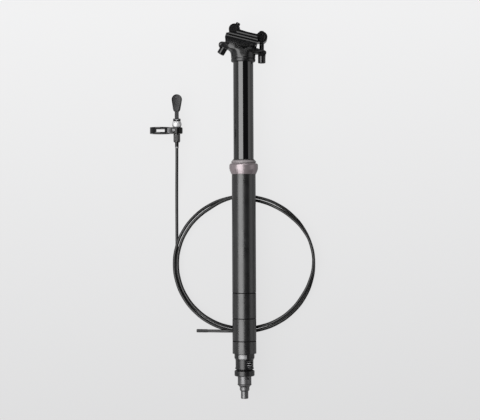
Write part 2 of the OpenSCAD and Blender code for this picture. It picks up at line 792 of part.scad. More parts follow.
module lever_yoke() {
  color([0.07, 0.07, 0.075]) remote_frame() difference() {
    union() {
      translate([0, yoke_low + seat, 0]) lie() cylinder(r = yoke_r, h = yoke_top - yoke_low, $fn = 96);
      translate([-yoke_r, yoke_low + 0.7, pivot_z - 2.6])
        cube([2 * yoke_r, yoke_top - yoke_low - 0.7 + seat, 2.6 - pivot_z]);
    }
    translate([-2.9, pivot_y - 0.9, pivot_z - 10]) cube([5.8, 10, 30]);
    translate([-2.9, pivot_y, pivot_z]) rotate([0, 90, 0]) cylinder(r = knuckle_r + clear, h = 5.8, $fn = 64);
    translate([0, ball_y, 0]) lie() cylinder(r = 1.15, h = 20, $fn = 32);
    translate([-2.2, pivot_y, 0]) rotate([0, 90, 0]) cylinder(r = nipple_r + clear, h = 4.4, $fn = 48);
    translate([-10, pivot_y, pivot_z]) rotate([0, 90, 0]) cylinder(r = pivot_r + seat, h = 20, $fn = 48);
  }
}

module paddle_pin() {
  color([0.75, 0.75, 0.77]) remote_frame() translate([-yoke_r, pivot_y, pivot_z]) rotate([0, 90, 0])
    cylinder(r = pivot_r, h = 2 * yoke_r, $fn = 48);
}

module paddle() {
  wide = paddle_w / 2;
  color([0.16, 0.16, 0.17]) remote_frame() difference() {
    union() {
      translate([-2.6, pivot_y, pivot_z]) rotate([0, 90, 0]) cylinder(r = knuckle_r, h = 5.2, $fn = 64);
      translate([-2.6, pivot_y - 0.5, pivot_z]) cube([5.2, 3.6, 2.6 - pivot_z]);
      hull() {
        translate([-2.6, pivot_y + 1.6, pivot_z + 2]) cube([5.2, 1.4, 0.6 - pivot_z]);
        translate([-2.6, pad_low + 2, -paddle_t / 2]) cube([5.2, 1, paddle_t]);
      }
      hull() {
        pad(0, paddle_t - 1.6);
        pad(0.8, paddle_t);
      }
    }
    translate([0.2, pad_top - wide, paddle_t / 2 + 26]) scale([1, 1.4, 1]) sphere(r = 27, $fn = 96);
    translate([-10, pivot_y, pivot_z]) rotate([0, 90, 0]) cylinder(r = pivot_r + run, h = 20, $fn = 48);
    translate([-2.1, pivot_y, 0]) rotate([0, 90, 0]) cylinder(r = nipple_r + 0.6, h = 4.2, $fn = 48);
    translate([-2.1, pivot_y - 0.9, 0]) cube([4.2, 1.8, 6]);
    translate([-1.2, pivot_y - 6, -1.4]) cube([2.4, 6, 2.8]);
  }
}

// the pad's outline, drawn in from its edge
module pad(inset, thick) {
  wide = paddle_w / 2;
  translate([0.2, pad_top - wide, -thick / 2]) cylinder(r = wide - inset, h = thick, $fn = 64);
  translate([0, pad_low + pad_foot_r, -thick / 2]) cylinder(r = pad_foot_r - inset, h = thick, $fn = 48);
}

module thumb_pad() {
  color([0.2, 0.2, 0.21]) remote_frame() intersection() {
    hull() pad(1.4, 2 * paddle_t);
    translate([0.2, pad_top - paddle_w / 2, paddle_t / 2 + 26]) difference() {
      scale([1, 1.4, 1]) sphere(r = 27 - seat, $fn = 96);
      scale([1, 1.4, 1]) sphere(r = 26.2, $fn = 96);
    }
  }
}

module inner_wire() {
  color([0.75, 0.75, 0.77]) remote_frame() union() {
    translate([0, ball_y - 2, 0]) lie() cylinder(r = 0.8, h = pivot_y - ball_y + 2, $fn = 32);
    translate([-1.9, pivot_y, 0]) rotate([0, 90, 0]) cylinder(r = nipple_r, h = 3.8, $fn = 48);
  }
}

module barrel_adjuster() {
  color([0.06, 0.06, 0.065]) remote_frame() difference() {
    turned([[0.9, adj_top + 3.2], [2.9, adj_top + 3.2], [2.9, adj_top], [adj_r - 0.4, adj_top],
      [adj_r, adj_top - 0.5], [adj_r, adj_low + 1.6], [adj_r - 0.8, adj_low], [ferrule_r + run, adj_low],
      [ferrule_r + run, adj_low + 6], [0.9, adj_low + 6]]);
    for (a = [0 : 360 / flutes : 359]) lie() rotate(a) translate([adj_r + 0.25, 0, adj_low + 1])
      cylinder(r = 0.7, h = 9, $fn = 24);
  }
}

module adjuster_ferrule() {
  color([0.1, 0.1, 0.1]) remote_frame() turned([[0.9, ferrule_low], [ferrule_r, ferrule_low],
    [ferrule_r, adj_low + 6 - clear], [0.9, adj_low + 6 - clear]]);
}

// cable housing

// one place on the loops, by the angle turned from the remote's end
function coil_point(a) = let (
  side = -lead_in * (1 - smooth(a, 0, 50)) - layer * smooth(a, 630, 665),
  rise = layer * (smooth(a, 290, 330) - smooth(a, 775, 815)),
  q = 180 + a)
  [coil_at[0] + (coil_rx + side) * cos(q), coil_at[1] + (coil_ry + side) * sin(q), lie_z + rise];

lead = [for (p = lead_route) [lever_x - lead_lean * p[1], p[0], remote_z + (lie_z - remote_z) * p[1]]];
coil = [for (a = [0 : coil_step : coil_turn]) coil_point(a), coil_point(coil_turn)];
tail = concat([coil_point(coil_turn)], [for (p = tail_route) [p[0], p[1], lie_z + layer * p[2]]]);

module housing_lead() {
  color([0.08, 0.08, 0.085]) hose(lead, hose_r, 8);
}

module housing_coil() {
  gaps = [for (i = [0 : len(coil) - 1], j = [i + 12 : 1 : len(coil) - 1]) norm(coil[i] - coil[j]) - hose_d];
  echo(least_gap = min(gaps));
  color([0.08, 0.08, 0.085]) hose(coil, hose_r, 6);
}

module housing_tail() {
  color([0.08, 0.08, 0.085]) hose(tail, hose_r, 8);
}

module end_ferrule() {
  at = tail[len(tail) - 1];
  d = unit(tail_dir);
  color([0.1, 0.1, 0.1]) translate(at) rotate([0, acos(d[2]), atan2(d[1], d[0])]) difference() {
    cylinder(r = hose_r + 0.2, h = ferrule_len, $fn = 48);
    translate([0, 0, ferrule_len - 2]) cylinder(r = 0.9, h = 4, $fn = 32);
  }
}

outer_tube();
seal_collar();
seal_cap();
wiper_seal();
foam_ring();
upper_bushing();
stanchion();
post_head();
lower_bushing();
guide_keys();
cartridge_tube();
cartridge_gland();
rod_seal();
cartridge_circlip();
cartridge_cap();
piston_rod();
piston();
piston_seal();
floating_piston();
floating_seal();
release_pin();
lower_cradle();
upper_clamp();
front_nut();
rear_nut();
front_bolt();
rear_bolt();
front_washer();
rear_washer();
actuator_housing();
retaining_clip();
lock_ring();
nipple_bar();
return_spring();
cable_coupler();
coupler_tip();
coupler_screw();
bar_clamp();
clamp_bolt();
clamp_shoe();
swivel_ball();
lever_yoke();
paddle_pin();
paddle();
thumb_pad();
inner_wire();
barrel_adjuster();
adjuster_ferrule();
housing_lead();
housing_coil();
housing_tail();
end_ferrule();
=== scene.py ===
"""Dresses a dropper seatpost, its cable housing and its thumb remote, seen from above.

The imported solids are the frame. Each sub-assembly is a class that copies its
solids, rounds their edges, adds the fine pieces they lack and gives each piece
a finish. Lengths are in metres unless a name ends in _mm.
"""

import json
import logging
import math
from dataclasses import dataclass, field
from enum import Enum
from typing import ClassVar, Optional, Sequence, Union

import bpy
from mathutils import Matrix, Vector

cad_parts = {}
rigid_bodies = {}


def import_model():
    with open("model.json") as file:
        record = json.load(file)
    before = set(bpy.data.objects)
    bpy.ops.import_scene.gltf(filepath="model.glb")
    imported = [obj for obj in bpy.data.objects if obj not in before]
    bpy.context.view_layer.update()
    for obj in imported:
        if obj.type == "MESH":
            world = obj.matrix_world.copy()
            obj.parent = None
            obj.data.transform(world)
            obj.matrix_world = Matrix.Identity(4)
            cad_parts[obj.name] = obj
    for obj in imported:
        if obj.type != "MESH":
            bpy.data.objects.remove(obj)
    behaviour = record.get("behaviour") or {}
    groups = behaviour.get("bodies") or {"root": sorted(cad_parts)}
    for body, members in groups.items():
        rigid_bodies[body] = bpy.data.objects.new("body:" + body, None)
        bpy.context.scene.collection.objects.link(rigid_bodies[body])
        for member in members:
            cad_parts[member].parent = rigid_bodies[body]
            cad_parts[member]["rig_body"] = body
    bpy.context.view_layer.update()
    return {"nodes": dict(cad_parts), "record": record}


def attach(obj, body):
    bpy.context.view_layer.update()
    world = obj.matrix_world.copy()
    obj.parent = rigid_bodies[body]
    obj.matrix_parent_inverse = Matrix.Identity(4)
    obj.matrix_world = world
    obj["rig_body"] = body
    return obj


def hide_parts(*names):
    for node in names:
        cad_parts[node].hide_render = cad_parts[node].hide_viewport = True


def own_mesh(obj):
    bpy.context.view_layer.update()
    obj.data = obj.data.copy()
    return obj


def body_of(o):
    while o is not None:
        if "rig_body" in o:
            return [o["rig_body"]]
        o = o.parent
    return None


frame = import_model()

Point = tuple[float, float, float]
Colour = tuple[float, float, float]
Pair = tuple[float, float]
Piece = bpy.types.Object
Socket = bpy.types.NodeSocket

MM = 0.001
# where the head's foot stands, and the middle line of the thumb lever
HEAD_Y_MM = 150.0
LEVER_X_MM = -89.1
LEVER_Z_MM = -15.8
LOG = logging.getLogger("seatpost")


def unit(value: float) -> float:
    """Keeps a value between 0 and 1."""
    return min(1.0, max(0.0, value))


class Grain(Enum):
    """Which way a finish's fine marks run, as noise scales along X, Y and Z."""

    EVEN = (1.0, 1.0, 1.0)
    ALONG = (1.0, 0.03, 1.0)


class Cut(Enum):
    """Which part of a piece stays when a closed mesh cuts it."""

    OUTSIDE = "DIFFERENCE"
    INSIDE = "INTERSECT"


class Wiring:
    """One material's node tree, wired a node at a time."""

    # waves to a metre of a wave texture whose scale is 1
    WAVES: ClassVar[float] = 3.2

    def __init__(self, name: str) -> None:
        """Starts a material with a shader and an output.

        Args:
            name: the material's name.
        """
        self.material = bpy.data.materials.new(name)
        self.material.use_nodes = True
        self.tree = self.material.node_tree
        self.tree.nodes.clear()
        self.output = self.add("ShaderNodeOutputMaterial")
        self.shader = self.add("ShaderNodeBsdfPrincipled")
        self.join(self.shader.outputs["BSDF"], self.output.inputs["Surface"])

    def add(self, kind: str) -> bpy.types.Node:
        """Adds a node of that kind and returns it."""
        return self.tree.nodes.new(kind)

    def join(self, start: Socket, end: Socket) -> None:
        """Links one socket to another."""
        self.tree.links.new(start, end)

    def place(self, scale: Point = (1.0, 1.0, 1.0), turn: Point = (0.0, 0.0, 0.0)) -> Socket:
        """Gives the piece's own coordinates, stretched and turned.

        Args:
            scale: the stretch along each axis.
            turn: the turn about each axis, in degrees.

        Returns:
            The socket with the mapped coordinates.
        """
        coordinates = self.add("ShaderNodeTexCoord")
        mapping = self.add("ShaderNodeMapping")
        mapping.inputs["Scale"].default_value = scale
        mapping.inputs["Rotation"].default_value = [math.radians(angle) for angle in turn]
        self.join(coordinates.outputs["Object"], mapping.inputs["Vector"])
        return mapping.outputs["Vector"]

    def noise(self, vector: Socket, scale: float, detail: float = 3.0) -> Socket:
        """Gives a noise from 0 to 1 over the coordinates.

        Args:
            vector: the coordinates to read.
            scale: how many waves there are to a metre.
            detail: how many finer layers it has.

        Returns:
            The socket with the noise.
        """
        node = self.add("ShaderNodeTexNoise")
        node.inputs["Scale"].default_value = scale
        node.inputs["Detail"].default_value = detail
        self.join(vector, node.inputs["Vector"])
        return node.outputs["Fac"]

    def remap(self, value: Socket, low: float, high: float, start: float = 0.3, end: float = 0.7) -> Socket:
        """Spreads a value between two numbers.

        Args:
            value: the socket to read.
            low: what it gives at start.
            high: what it gives at end.
            start: the value that gives low.
            end: the value that gives high.

        Returns:
            The socket with the spread value.
        """
        node = self.add("ShaderNodeMapRange")
        node.inputs["From Min"].default_value = start
        node.inputs["From Max"].default_value = end
        node.inputs["To Min"].default_value = low
        node.inputs["To Max"].default_value = high
        self.join(value, node.inputs["Value"])
        return node.outputs["Result"]

    def blend(self, amount: Socket, first: Union[Colour, Socket], second: Colour) -> Socket:
        """Mixes two colours by an amount.

        Args:
            amount: the socket that says how much of the second there is.
            first: the colour at 0, or a socket with it.
            second: the colour at 1.

        Returns:
            The socket with the mixed colour.
        """
        node = self.add("ShaderNodeMix")
        node.data_type = "RGBA"
        if isinstance(first, Socket):
            self.join(first, node.inputs["A"])
        else:
            node.inputs["A"].default_value = (*first, 1.0)
        node.inputs["B"].default_value = (*second, 1.0)
        self.join(amount, node.inputs["Factor"])
        return next(socket for socket in node.outputs if socket.type == "RGBA")

    def bump(self, height: Socket, depth_mm: float, below: Optional[Socket] = None) -> Socket:
        """Turns a height into a bent normal.

        Args:
            height: the socket with the height from 0 to 1.
            depth_mm: how deep the marks are, in millimetres.
            below: a normal that is bent already.

        Returns:
            The socket with the normal.
        """
        node = self.add("ShaderNodeBump")
        node.inputs["Strength"].default_value = 1.0
        node.inputs["Distance"].default_value = depth_mm * MM
        self.join(height, node.inputs["Height"])
        if below is not None:
            self.join(below, node.inputs["Normal"])
        return node.outputs["Normal"]

    def bands(self, across: str, pitch_mm: float, turn: float = 0.0) -> bpy.types.Node:
        """Adds a texture of straight bands.

        Args:
            across: the axis that runs across the bands.
            pitch_mm: how far apart they are.
            turn: their turn about Z, in degrees.

        Returns:
            The node, whose Fac output holds the bands.
        """
        node = self.add("ShaderNodeTexWave")
        node.wave_type = "BANDS"
        node.bands_direction = across
        node.inputs["Scale"].default_value = 1.0 / (pitch_mm * MM * self.WAVES)
        self.join(self.place(turn=(0.0, 0.0, turn)), node.inputs["Vector"])
        return node

    def larger(self, first: Socket, second: Socket) -> Socket:
        """Gives the larger of two values.

        Args:
            first: the socket with one value.
            second: the socket with the other.

        Returns:
            The socket with the larger value.
        """
        node = self.add("ShaderNodeMath")
        node.operation = "MAXIMUM"
        self.join(first, node.inputs[0])
        self.join(second, node.inputs[1])
        return node.outputs[0]


@dataclass(frozen=True)
class Finish:
    """A surface: its colour, its gloss and the fine marks on it."""

    colour: Colour
    roughness: float
    metallic: float = 0.0
    ior: float = 1.5
    grain: Grain = Grain.EVEN
    grain_scale: float = 2600.0
    grain_mm: float = 0.003
    tone: float = 0.12
    patch_scale: float = 55.0
    gloss_spread: float = 0.15
    wear: float = 0.0

    PATCH_DETAIL: ClassVar[float] = 4.0
    # how sharp an edge is where the rubbing starts and where it is full, and how light it gets
    RUBBED: ClassVar[Pair] = (0.53, 0.62)
    RUBBED_SHADE: ClassVar[float] = 1.8

    def shade(self, factor: float) -> Colour:
        """Gives the colour made lighter or darker by a factor."""
        red, green, blue = self.colour
        return (min(1.0, red * factor), min(1.0, green * factor), min(1.0, blue * factor))

    def make(self, name: str) -> bpy.types.Material:
        """Makes the material.

        Args:
            name: the material's name.

        Returns:
            The finished material.
        """
        wiring = Wiring(name)
        shader = wiring.shader
        shader.inputs["Metallic"].default_value = self.metallic
        shader.inputs["IOR"].default_value = self.ior
        patches = wiring.noise(wiring.place(), self.patch_scale, self.PATCH_DETAIL)
        marks = wiring.noise(wiring.place(self.grain.value), self.grain_scale)
        colour = wiring.blend(
            wiring.remap(patches, 0.0, 1.0), self.shade(1.0 - self.tone), self.shade(1.0 + self.tone)
        )
        if self.wear:
            colour = self.worn(wiring, colour)
        wiring.join(colour, shader.inputs["Base Color"])
        gloss = wiring.remap(
            patches,
            self.roughness * (1.0 - self.gloss_spread),
            self.roughness * (1.0 + self.gloss_spread),
        )
        wiring.join(gloss, shader.inputs["Roughness"])
        wiring.join(self.relief(wiring, marks), shader.inputs["Normal"])
        return wiring.material

    def relief(self, wiring: Wiring, marks: Socket) -> Socket:
        """Bends the normal by the fine marks."""
        return wiring.bump(marks, self.grain_mm)

    def worn(self, wiring: Wiring, colour: Socket) -> Socket:
        """Lightens the colour along the edges, where the finish is rubbed.

        Args:
            wiring: the material's nodes.
            colour: the colour before wear.

        Returns:
            The socket with the worn colour.
        """
        shape = wiring.add("ShaderNodeNewGeometry")
        edges = wiring.remap(shape.outputs["Pointiness"], 0.0, self.wear, *self.RUBBED)
        return wiring.blend(edges, colour, self.shade(self.RUBBED_SHADE))


@dataclass(frozen=True)
class TurnedFinish(Finish):
    """Bare or anodised metal off a lathe, with its tool lines round the axis."""

    pitch_mm: float = 0.35
    line_mm: float = 0.004

    WANDER: ClassVar[float] = 1.5
    WANDER_DETAIL: ClassVar[float] = 2.0

    def relief(self, wiring: Wiring, marks: Socket) -> Socket:
        """Bends the normal by the tool lines, over the fine marks."""
        lines = wiring.bands("Y", self.pitch_mm)
        lines.inputs["Distortion"].default_value = self.WANDER
        lines.inputs["Detail"].default_value = self.WANDER_DETAIL
        return wiring.bump(lines.outputs["Fac"], self.line_mm, wiring.bump(marks, self.grain_mm))


@dataclass(frozen=True)
class WovenFinish(Finish):
    """Moulded plastic with a fine crossed grain, as on the thumb lever."""

    cross_mm: float = 0.55
    ridge_mm: float = 0.02
    slant: float = 38.0

    def relief(self, wiring: Wiring, marks: Socket) -> Socket:
        """Bends the normal by two sets of slanting ridges, over the fine marks."""
        normal = wiring.bump(marks, self.grain_mm)
        for turn in (self.slant, -self.slant):
            ridges = wiring.bands("X", self.cross_mm, turn)
            normal = wiring.bump(ridges.outputs["Fac"], self.ridge_mm, normal)
        return normal


class Palette:
    """The finish of each material slot in the record, made once and shared."""

    FINISHES: ClassVar[dict[str, Finish]] = {
        "tube_black": Finish((0.008, 0.008, 0.0085), 0.3, ior=1.78, grain_mm=0.0035, grain_scale=3200.0),
        "stanchion_black": TurnedFinish(
            (0.003, 0.003, 0.0033), 0.05, ior=1.86, grain_mm=0.0002, line_mm=0.00012, pitch_mm=0.25
        ),
        "collar_mauve": TurnedFinish((0.33, 0.283, 0.298), 0.32, metallic=0.6, tone=0.06, line_mm=0.002),
        "cap_mauve": TurnedFinish((0.3, 0.272, 0.28), 0.5, metallic=0.2, tone=0.06, line_mm=0.002),
        "seal_rubber": Finish((0.012, 0.012, 0.012), 0.6, grain_mm=0.01, grain_scale=1800.0),
        "foam": Finish((0.4, 0.32, 0.1), 0.9, grain_mm=0.12, grain_scale=900.0, tone=0.3),
        "bushing_plastic": Finish((0.62, 0.62, 0.58), 0.45, grain_mm=0.004),
        "brass": TurnedFinish((0.62, 0.46, 0.18), 0.25, metallic=1.0),
        "inner_alloy": TurnedFinish((0.6, 0.6, 0.62), 0.28, metallic=1.0),
        "rod_steel": TurnedFinish((0.5, 0.505, 0.52), 0.26, metallic=0.8, line_mm=0.001),
        "head_black": Finish(
            (0.006, 0.006, 0.0065), 0.27, ior=1.62, grain_mm=0.0012, grain_scale=2200.0, wear=0.15
        ),
        "clamp_black": Finish(
            (0.005, 0.005, 0.0054), 0.12, ior=1.62, grain_mm=0.0015, grain_scale=2400.0, wear=0.3
        ),
        "bolt_black": Finish((0.006, 0.006, 0.0065), 0.15, ior=1.55, grain_mm=0.0015, wear=0.4),
        "actuator_black": TurnedFinish((0.006, 0.006, 0.0065), 0.32, ior=1.62, line_mm=0.002),
        "silver": TurnedFinish((0.165, 0.165, 0.168), 0.4, metallic=0.9, line_mm=0.003),
        "clip_silver": Finish((0.62, 0.62, 0.63), 0.36, metallic=0.45, grain=Grain.ALONG, grain_mm=0.002),
        "clip_dull": Finish((0.27, 0.27, 0.274), 0.42, metallic=0.45, grain=Grain.ALONG, grain_mm=0.004),
        "ball_satin": Finish((0.66, 0.66, 0.665), 0.46, metallic=0.35, grain_mm=0.001),
        "adjuster_gloss": Finish((0.005, 0.005, 0.0054), 0.12, ior=1.75, grain_mm=0.001),
        # the spring's colour is painted lighter and less metallic than its steel: a painted highlight that
        # stands in for the light the housing's window keeps off it
        "spring_bright": Finish((0.72, 0.72, 0.73), 0.4, metallic=0.25, grain_mm=0.002),
        "remote_black": Finish((0.005, 0.005, 0.0054), 0.11, ior=1.4, grain_mm=0.0012, wear=0.4),
        "paddle_grey": WovenFinish((0.022, 0.022, 0.023), 0.45, grain_mm=0.004),
        "housing_black": Finish((0.009, 0.009, 0.009), 0.3, ior=1.5, grain_mm=0.001, grain_scale=1500.0),
        "ferrule_black": Finish((0.004, 0.004, 0.004), 0.2, ior=1.38, grain_mm=0.001),
    }

    made: ClassVar[dict[str, bpy.types.Material]] = {}

    @classmethod
    def give(cls, piece: Piece, slot: str) -> None:
        """Puts a slot's material on a piece.

        Args:
            piece: the piece to dress.
            slot: the record's material slot.
        """
        if slot not in cls.made:
            cls.made[slot] = cls.FINISHES[slot].make(slot)
        if piece.data.materials:
            for index in range(len(piece.data.materials)):
                piece.data.materials[index] = cls.made[slot]
        else:
            piece.data.materials.append(cls.made[slot])

    @staticmethod
    def slot_of(node: str) -> str:
        """Gives the record's material slot of a CAD node."""
        return next(row["material_slot"] for row in frame["record"]["subparts"] if row["node"] == node)


class Bench:
    """Modelling steps that work on one piece at a time."""

    SAME_MM: ClassVar[float] = 0.001
    LOOSE_MM: ClassVar[float] = 0.002
    SOFTNESS: ClassVar[float] = 0.5
    ROUND_STEPS: ClassVar[int] = 2
    TURN_STEPS: ClassVar[int] = 48
    FACE_WEIGHT: ClassVar[int] = 60

    # bends in degrees: of faces that count as one, of an edge that is rounded, and of smooth shading
    FLAT_TO: ClassVar[float] = 0.3
    SHARP_FROM: ClassVar[float] = 32.0
    SMOOTH_TO: ClassVar[float] = 40.0

    @staticmethod
    def body_of(node: str) -> str:
        """Gives the body that a CAD node moves with."""
        return body_of(frame["nodes"][node])[0]

    @staticmethod
    def free() -> None:
        """Leaves edit mode and deselects everything, ready for a new primitive."""
        if bpy.context.object and bpy.context.object.mode != "OBJECT":
            bpy.ops.object.mode_set(mode="OBJECT")
        bpy.ops.object.select_all(action="DESELECT")

    @staticmethod
    def alone(piece: Piece) -> None:
        """Selects one piece and makes it the active one."""
        Bench.free()
        piece.select_set(True)
        bpy.context.view_layer.objects.active = piece

    @staticmethod
    def apply(piece: Piece, kind: str, **settings: object) -> None:
        """Gives a piece a modifier and applies it.

        Args:
            piece: the piece to change.
            kind: the modifier's type.
            settings: the modifier's values, by name.
        """
        Bench.alone(piece)
        modifier = piece.modifiers.new(kind.lower(), kind)
        for name, value in settings.items():
            setattr(modifier, name, value)
        bpy.ops.object.modifier_apply(modifier=modifier.name)

    @staticmethod
    def merge(piece: Piece, gap_mm: float) -> None:
        """Joins corners that lie close together and makes flat areas single faces.

        Args:
            piece: the piece to clean.
            gap_mm: how far apart joined corners may lie.
        """
        Bench.alone(piece)
        bpy.ops.object.mode_set(mode="EDIT")
        bpy.ops.mesh.select_all(action="SELECT")
        bpy.ops.mesh.remove_doubles(threshold=gap_mm * MM)
        bpy.ops.mesh.dissolve_limited(angle_limit=math.radians(Bench.FLAT_TO))
        bpy.ops.object.mode_set(mode="OBJECT")

    @staticmethod
    def copy_of(node: str) -> Piece:
        """Copies a CAD node and joins its loose triangles.

        Args:
            node: the CAD node's name.

        Returns:
            The copy, with flat areas as single faces.
        """
        piece = bpy.data.objects.new(f"{node}_finished", frame["nodes"][node].data.copy())
        bpy.context.scene.collection.objects.link(piece)
        piece.data.materials.clear()
        Bench.alone(piece)
        bpy.ops.mesh.customdata_custom_splitnormals_clear()
        Bench.merge(piece, Bench.LOOSE_MM)
        return piece

    @staticmethod
    def forge(piece: Piece, cell_mm: float) -> None:
        """Rebuilds a piece's skin as an even net of cells, which can be pressed into shape."""
        Bench.apply(piece, "REMESH", mode="VOXEL", voxel_size=cell_mm * MM)

    @staticmethod
    def soften(piece: Piece, passes: int, group: str = "") -> None:
        """Evens out a piece's skin in so many passes, or only the vertex group that is named."""
        Bench.apply(piece, "SMOOTH", factor=Bench.SOFTNESS, iterations=passes, vertex_group=group)

    @staticmethod
    def round_edges(piece: Piece, width_mm: float) -> None:
        """Rounds a piece's sharp edges and smooths its shading.

        Args:
            piece: the piece to round.
            width_mm: how wide the rounding is, or 0 for none.
        """
        if width_mm:
            Bench.apply(
                piece,
                "BEVEL",
                width=width_mm * MM,
                segments=Bench.ROUND_STEPS,
                limit_method="ANGLE",
                angle_limit=math.radians(Bench.SHARP_FROM),
                use_clamp_overlap=True,
                miter_outer="MITER_ARC",
            )
        Bench.alone(piece)
        bpy.ops.object.shade_smooth_by_angle(angle=math.radians(Bench.SMOOTH_TO))
        Bench.apply(piece, "WEIGHTED_NORMAL", keep_sharp=True, weight=Bench.FACE_WEIGHT)

    @staticmethod
    def seat_at(piece: Piece, place_mm: Point, turn: Point = (0.0, 0.0, 0.0)) -> None:
        """Turns and moves a piece, and puts that into its mesh.

        Args:
            piece: the piece, which stands at the origin.
            place_mm: where it goes, in millimetres.
            turn: its turn about X, Y and Z, in degrees.
        """
        Bench.alone(piece)
        piece.rotation_euler = [math.radians(angle) for angle in turn]
        piece.location = Vector(place_mm) * MM
        bpy.ops.object.transform_apply(location=True, rotation=True, scale=True)

    @staticmethod
    def close_up(piece: Piece) -> None:
        """Merges a piece's doubles, fills its open ends and turns its faces outwards."""
        Bench.alone(piece)
        bpy.ops.object.mode_set(mode="EDIT")
        bpy.ops.mesh.select_all(action="SELECT")
        bpy.ops.mesh.remove_doubles(threshold=Bench.SAME_MM * MM)
        bpy.ops.mesh.fill_holes(sides=0)
        bpy.ops.mesh.select_all(action="SELECT")
        bpy.ops.mesh.normals_make_consistent(inside=False)
        bpy.ops.object.mode_set(mode="OBJECT")

    @staticmethod
    def outline(name: str, corners: Sequence[Point], fill: str = "NOTHING") -> Piece:
        """Draws a closed outline.

        Args:
            name: the outline's name.
            corners: its corners in turn, in millimetres.
            fill: how it is filled.

        Returns:
            The outline, as a new piece.
        """
        Bench.free()
        bpy.ops.mesh.primitive_circle_add(vertices=len(corners), radius=MM, fill_type=fill)
        piece = bpy.context.object
        piece.name = name
        for corner, place in zip(piece.data.vertices, corners):
            corner.co = Vector(place) * MM
        return piece

    @staticmethod
    def drawn(name: str, section: Sequence[Point], pull_mm: Point) -> Piece:
        """Draws a section, pulls it into a bar and mirrors the bar to the far side.

        Args:
            name: the bar's name.
            section: the section's corners, in millimetres.
            pull_mm: where to and how far it is pulled.

        Returns:
            Both bars as one closed mesh.
        """
        piece = Bench.outline(name, section, "NGON")
        bpy.ops.object.mode_set(mode="EDIT")
        bpy.ops.mesh.select_all(action="SELECT")
        bpy.ops.mesh.extrude_region_move(TRANSFORM_OT_translate={"value": Vector(pull_mm) * MM})
        bpy.ops.object.mode_set(mode="OBJECT")
        Bench.apply(piece, "MIRROR", use_axis=(False, False, True))
        Bench.close_up(piece)
        return piece

    @staticmethod
    def cut(piece: Piece, cutter: Piece, kept: Cut) -> None:
        """Cuts a piece by a closed mesh, which is then dropped."""
        Bench.apply(piece, "BOOLEAN", operation=kept.value, solver="EXACT", object=cutter)
        bpy.data.objects.remove(cutter)

    @staticmethod
    def ring(name: str, inner_mm: float, outer_mm: float, high_mm: float, edge_mm: float) -> Piece:
        """Models a ring about the Y axis, from a section that is turned once round.

        Args:
            name: the ring's name.
            inner_mm: its inner radius.
            outer_mm: its outer radius.
            high_mm: its height along Y.
            edge_mm: how far its outer edges are broken.

        Returns:
            The ring, centred on the origin.
        """
        half = 0.5 * high_mm
        section = (
            (inner_mm, -half, 0.0),
            (outer_mm - edge_mm, -half, 0.0),
            (outer_mm, edge_mm - half, 0.0),
            (outer_mm, half - edge_mm, 0.0),
            (outer_mm - edge_mm, half, 0.0),
            (inner_mm, half, 0.0),
        )
        piece = Bench.outline(name, section)
        Bench.apply(
            piece,
            "SCREW",
            axis="Y",
            steps=Bench.TURN_STEPS,
            render_steps=Bench.TURN_STEPS,
            use_merge_vertices=True,
            merge_threshold=Bench.SAME_MM * MM,
        )
        Bench.close_up(piece)
        Bench.round_edges(piece, 0.0)
        return piece

    @staticmethod
    def settle(piece: Piece, slot: str, body: str, *nodes: str) -> None:
        """Dresses a finished piece and seats it on its body.

        Args:
            piece: the piece.
            slot: the record's material slot it takes its finish from.
            body: the body it moves with.
            nodes: the CAD nodes it stands for.
        """
        Palette.give(piece, slot)
        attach(piece, body)
        if nodes:
            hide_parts(*nodes)
        LOG.info("%s: %d faces on %s", piece.name, len(getattr(piece.data, "polygons", [])), body)


@dataclass
class Assembly:
    """A group of solids that share a place on the part."""

    edges_mm: dict[str, float] = field(default_factory=dict)
    finishes: dict[str, str] = field(default_factory=dict)

    def build(self) -> None:
        """Copies each solid, shapes and rounds it, dresses it and adds the fine pieces."""
        for node, width in self.edges_mm.items():
            piece = Bench.copy_of(node)
            self.shape(node, piece)
            Bench.round_edges(piece, width)
            Bench.settle(piece, Palette.slot_of(node), Bench.body_of(node), node)
            if node in self.finishes:
                Palette.give(piece, self.finishes[node])
        self.trim()

    def shape(self, node: str, piece: Piece) -> None:
        """Shapes a solid's copy before its edges are rounded; most stay as they are."""

    def trim(self) -> None:
        """Adds the pieces that the solids lack; a plain group has none."""


@dataclass
class FrameTube(Assembly):
    """The tube that goes into the frame, with its seal collar."""

    # each ring line's lower edge and the radius of its floor
    LINES_MM: ClassVar[dict[float, float]] = {-155.7: 15.15, -189.5: 15.42, -219.3: 15.46}

    edges_mm: dict[str, float] = field(
        default_factory=lambda: {"outer_tube": 0.12, "seal_collar": 0.2, "seal_cap": 0.2, "wiper_seal": 0.15}
    )
    brim_y_mm: Pair = (16.1, 16.6)
    brim_out_mm: float = 15.2
    brim_lift_mm: float = 0.75
    skin_mm: Pair = (15.4, 15.6)
    near_mm: float = 0.1
    line_reach_mm: float = 1.0
    line_drop_mm: float = 0.35
    floor_at_mm: float = 0.28
    floor_from_mm: float = 0.45
    floor_share: float = 0.1

    def shape(self, node: str, piece: Piece) -> None:
        """Deepens the tube's ring lines and opens a dark line under the cap's brim.

        Args:
            node: the solid's name.
            piece: its copy.
        """
        low_brim, high_brim = self.brim_y_mm
        skin, top = self.skin_mm
        for corner in piece.data.vertices:
            y, out = corner.co.y / MM, math.hypot(corner.co.x, corner.co.z) / MM
            if node == "seal_cap" and low_brim < y < high_brim and out > self.brim_out_mm:
                corner.co.y += self.brim_lift_mm * MM
            elif node == "outer_tube" and out > skin:
                for low, floor in self.LINES_MM.items():
                    above = y - low
                    if abs(above) < self.near_mm:
                        corner.co.y -= self.line_drop_mm * MM
                    if -self.near_mm < above < self.line_reach_mm and out < top:
                        corner.co.x *= floor / out
                        corner.co.z *= floor / out
                        level = self.floor_at_mm + self.floor_share * (above - self.floor_from_mm)
                        corner.co.y = (low + level) * MM


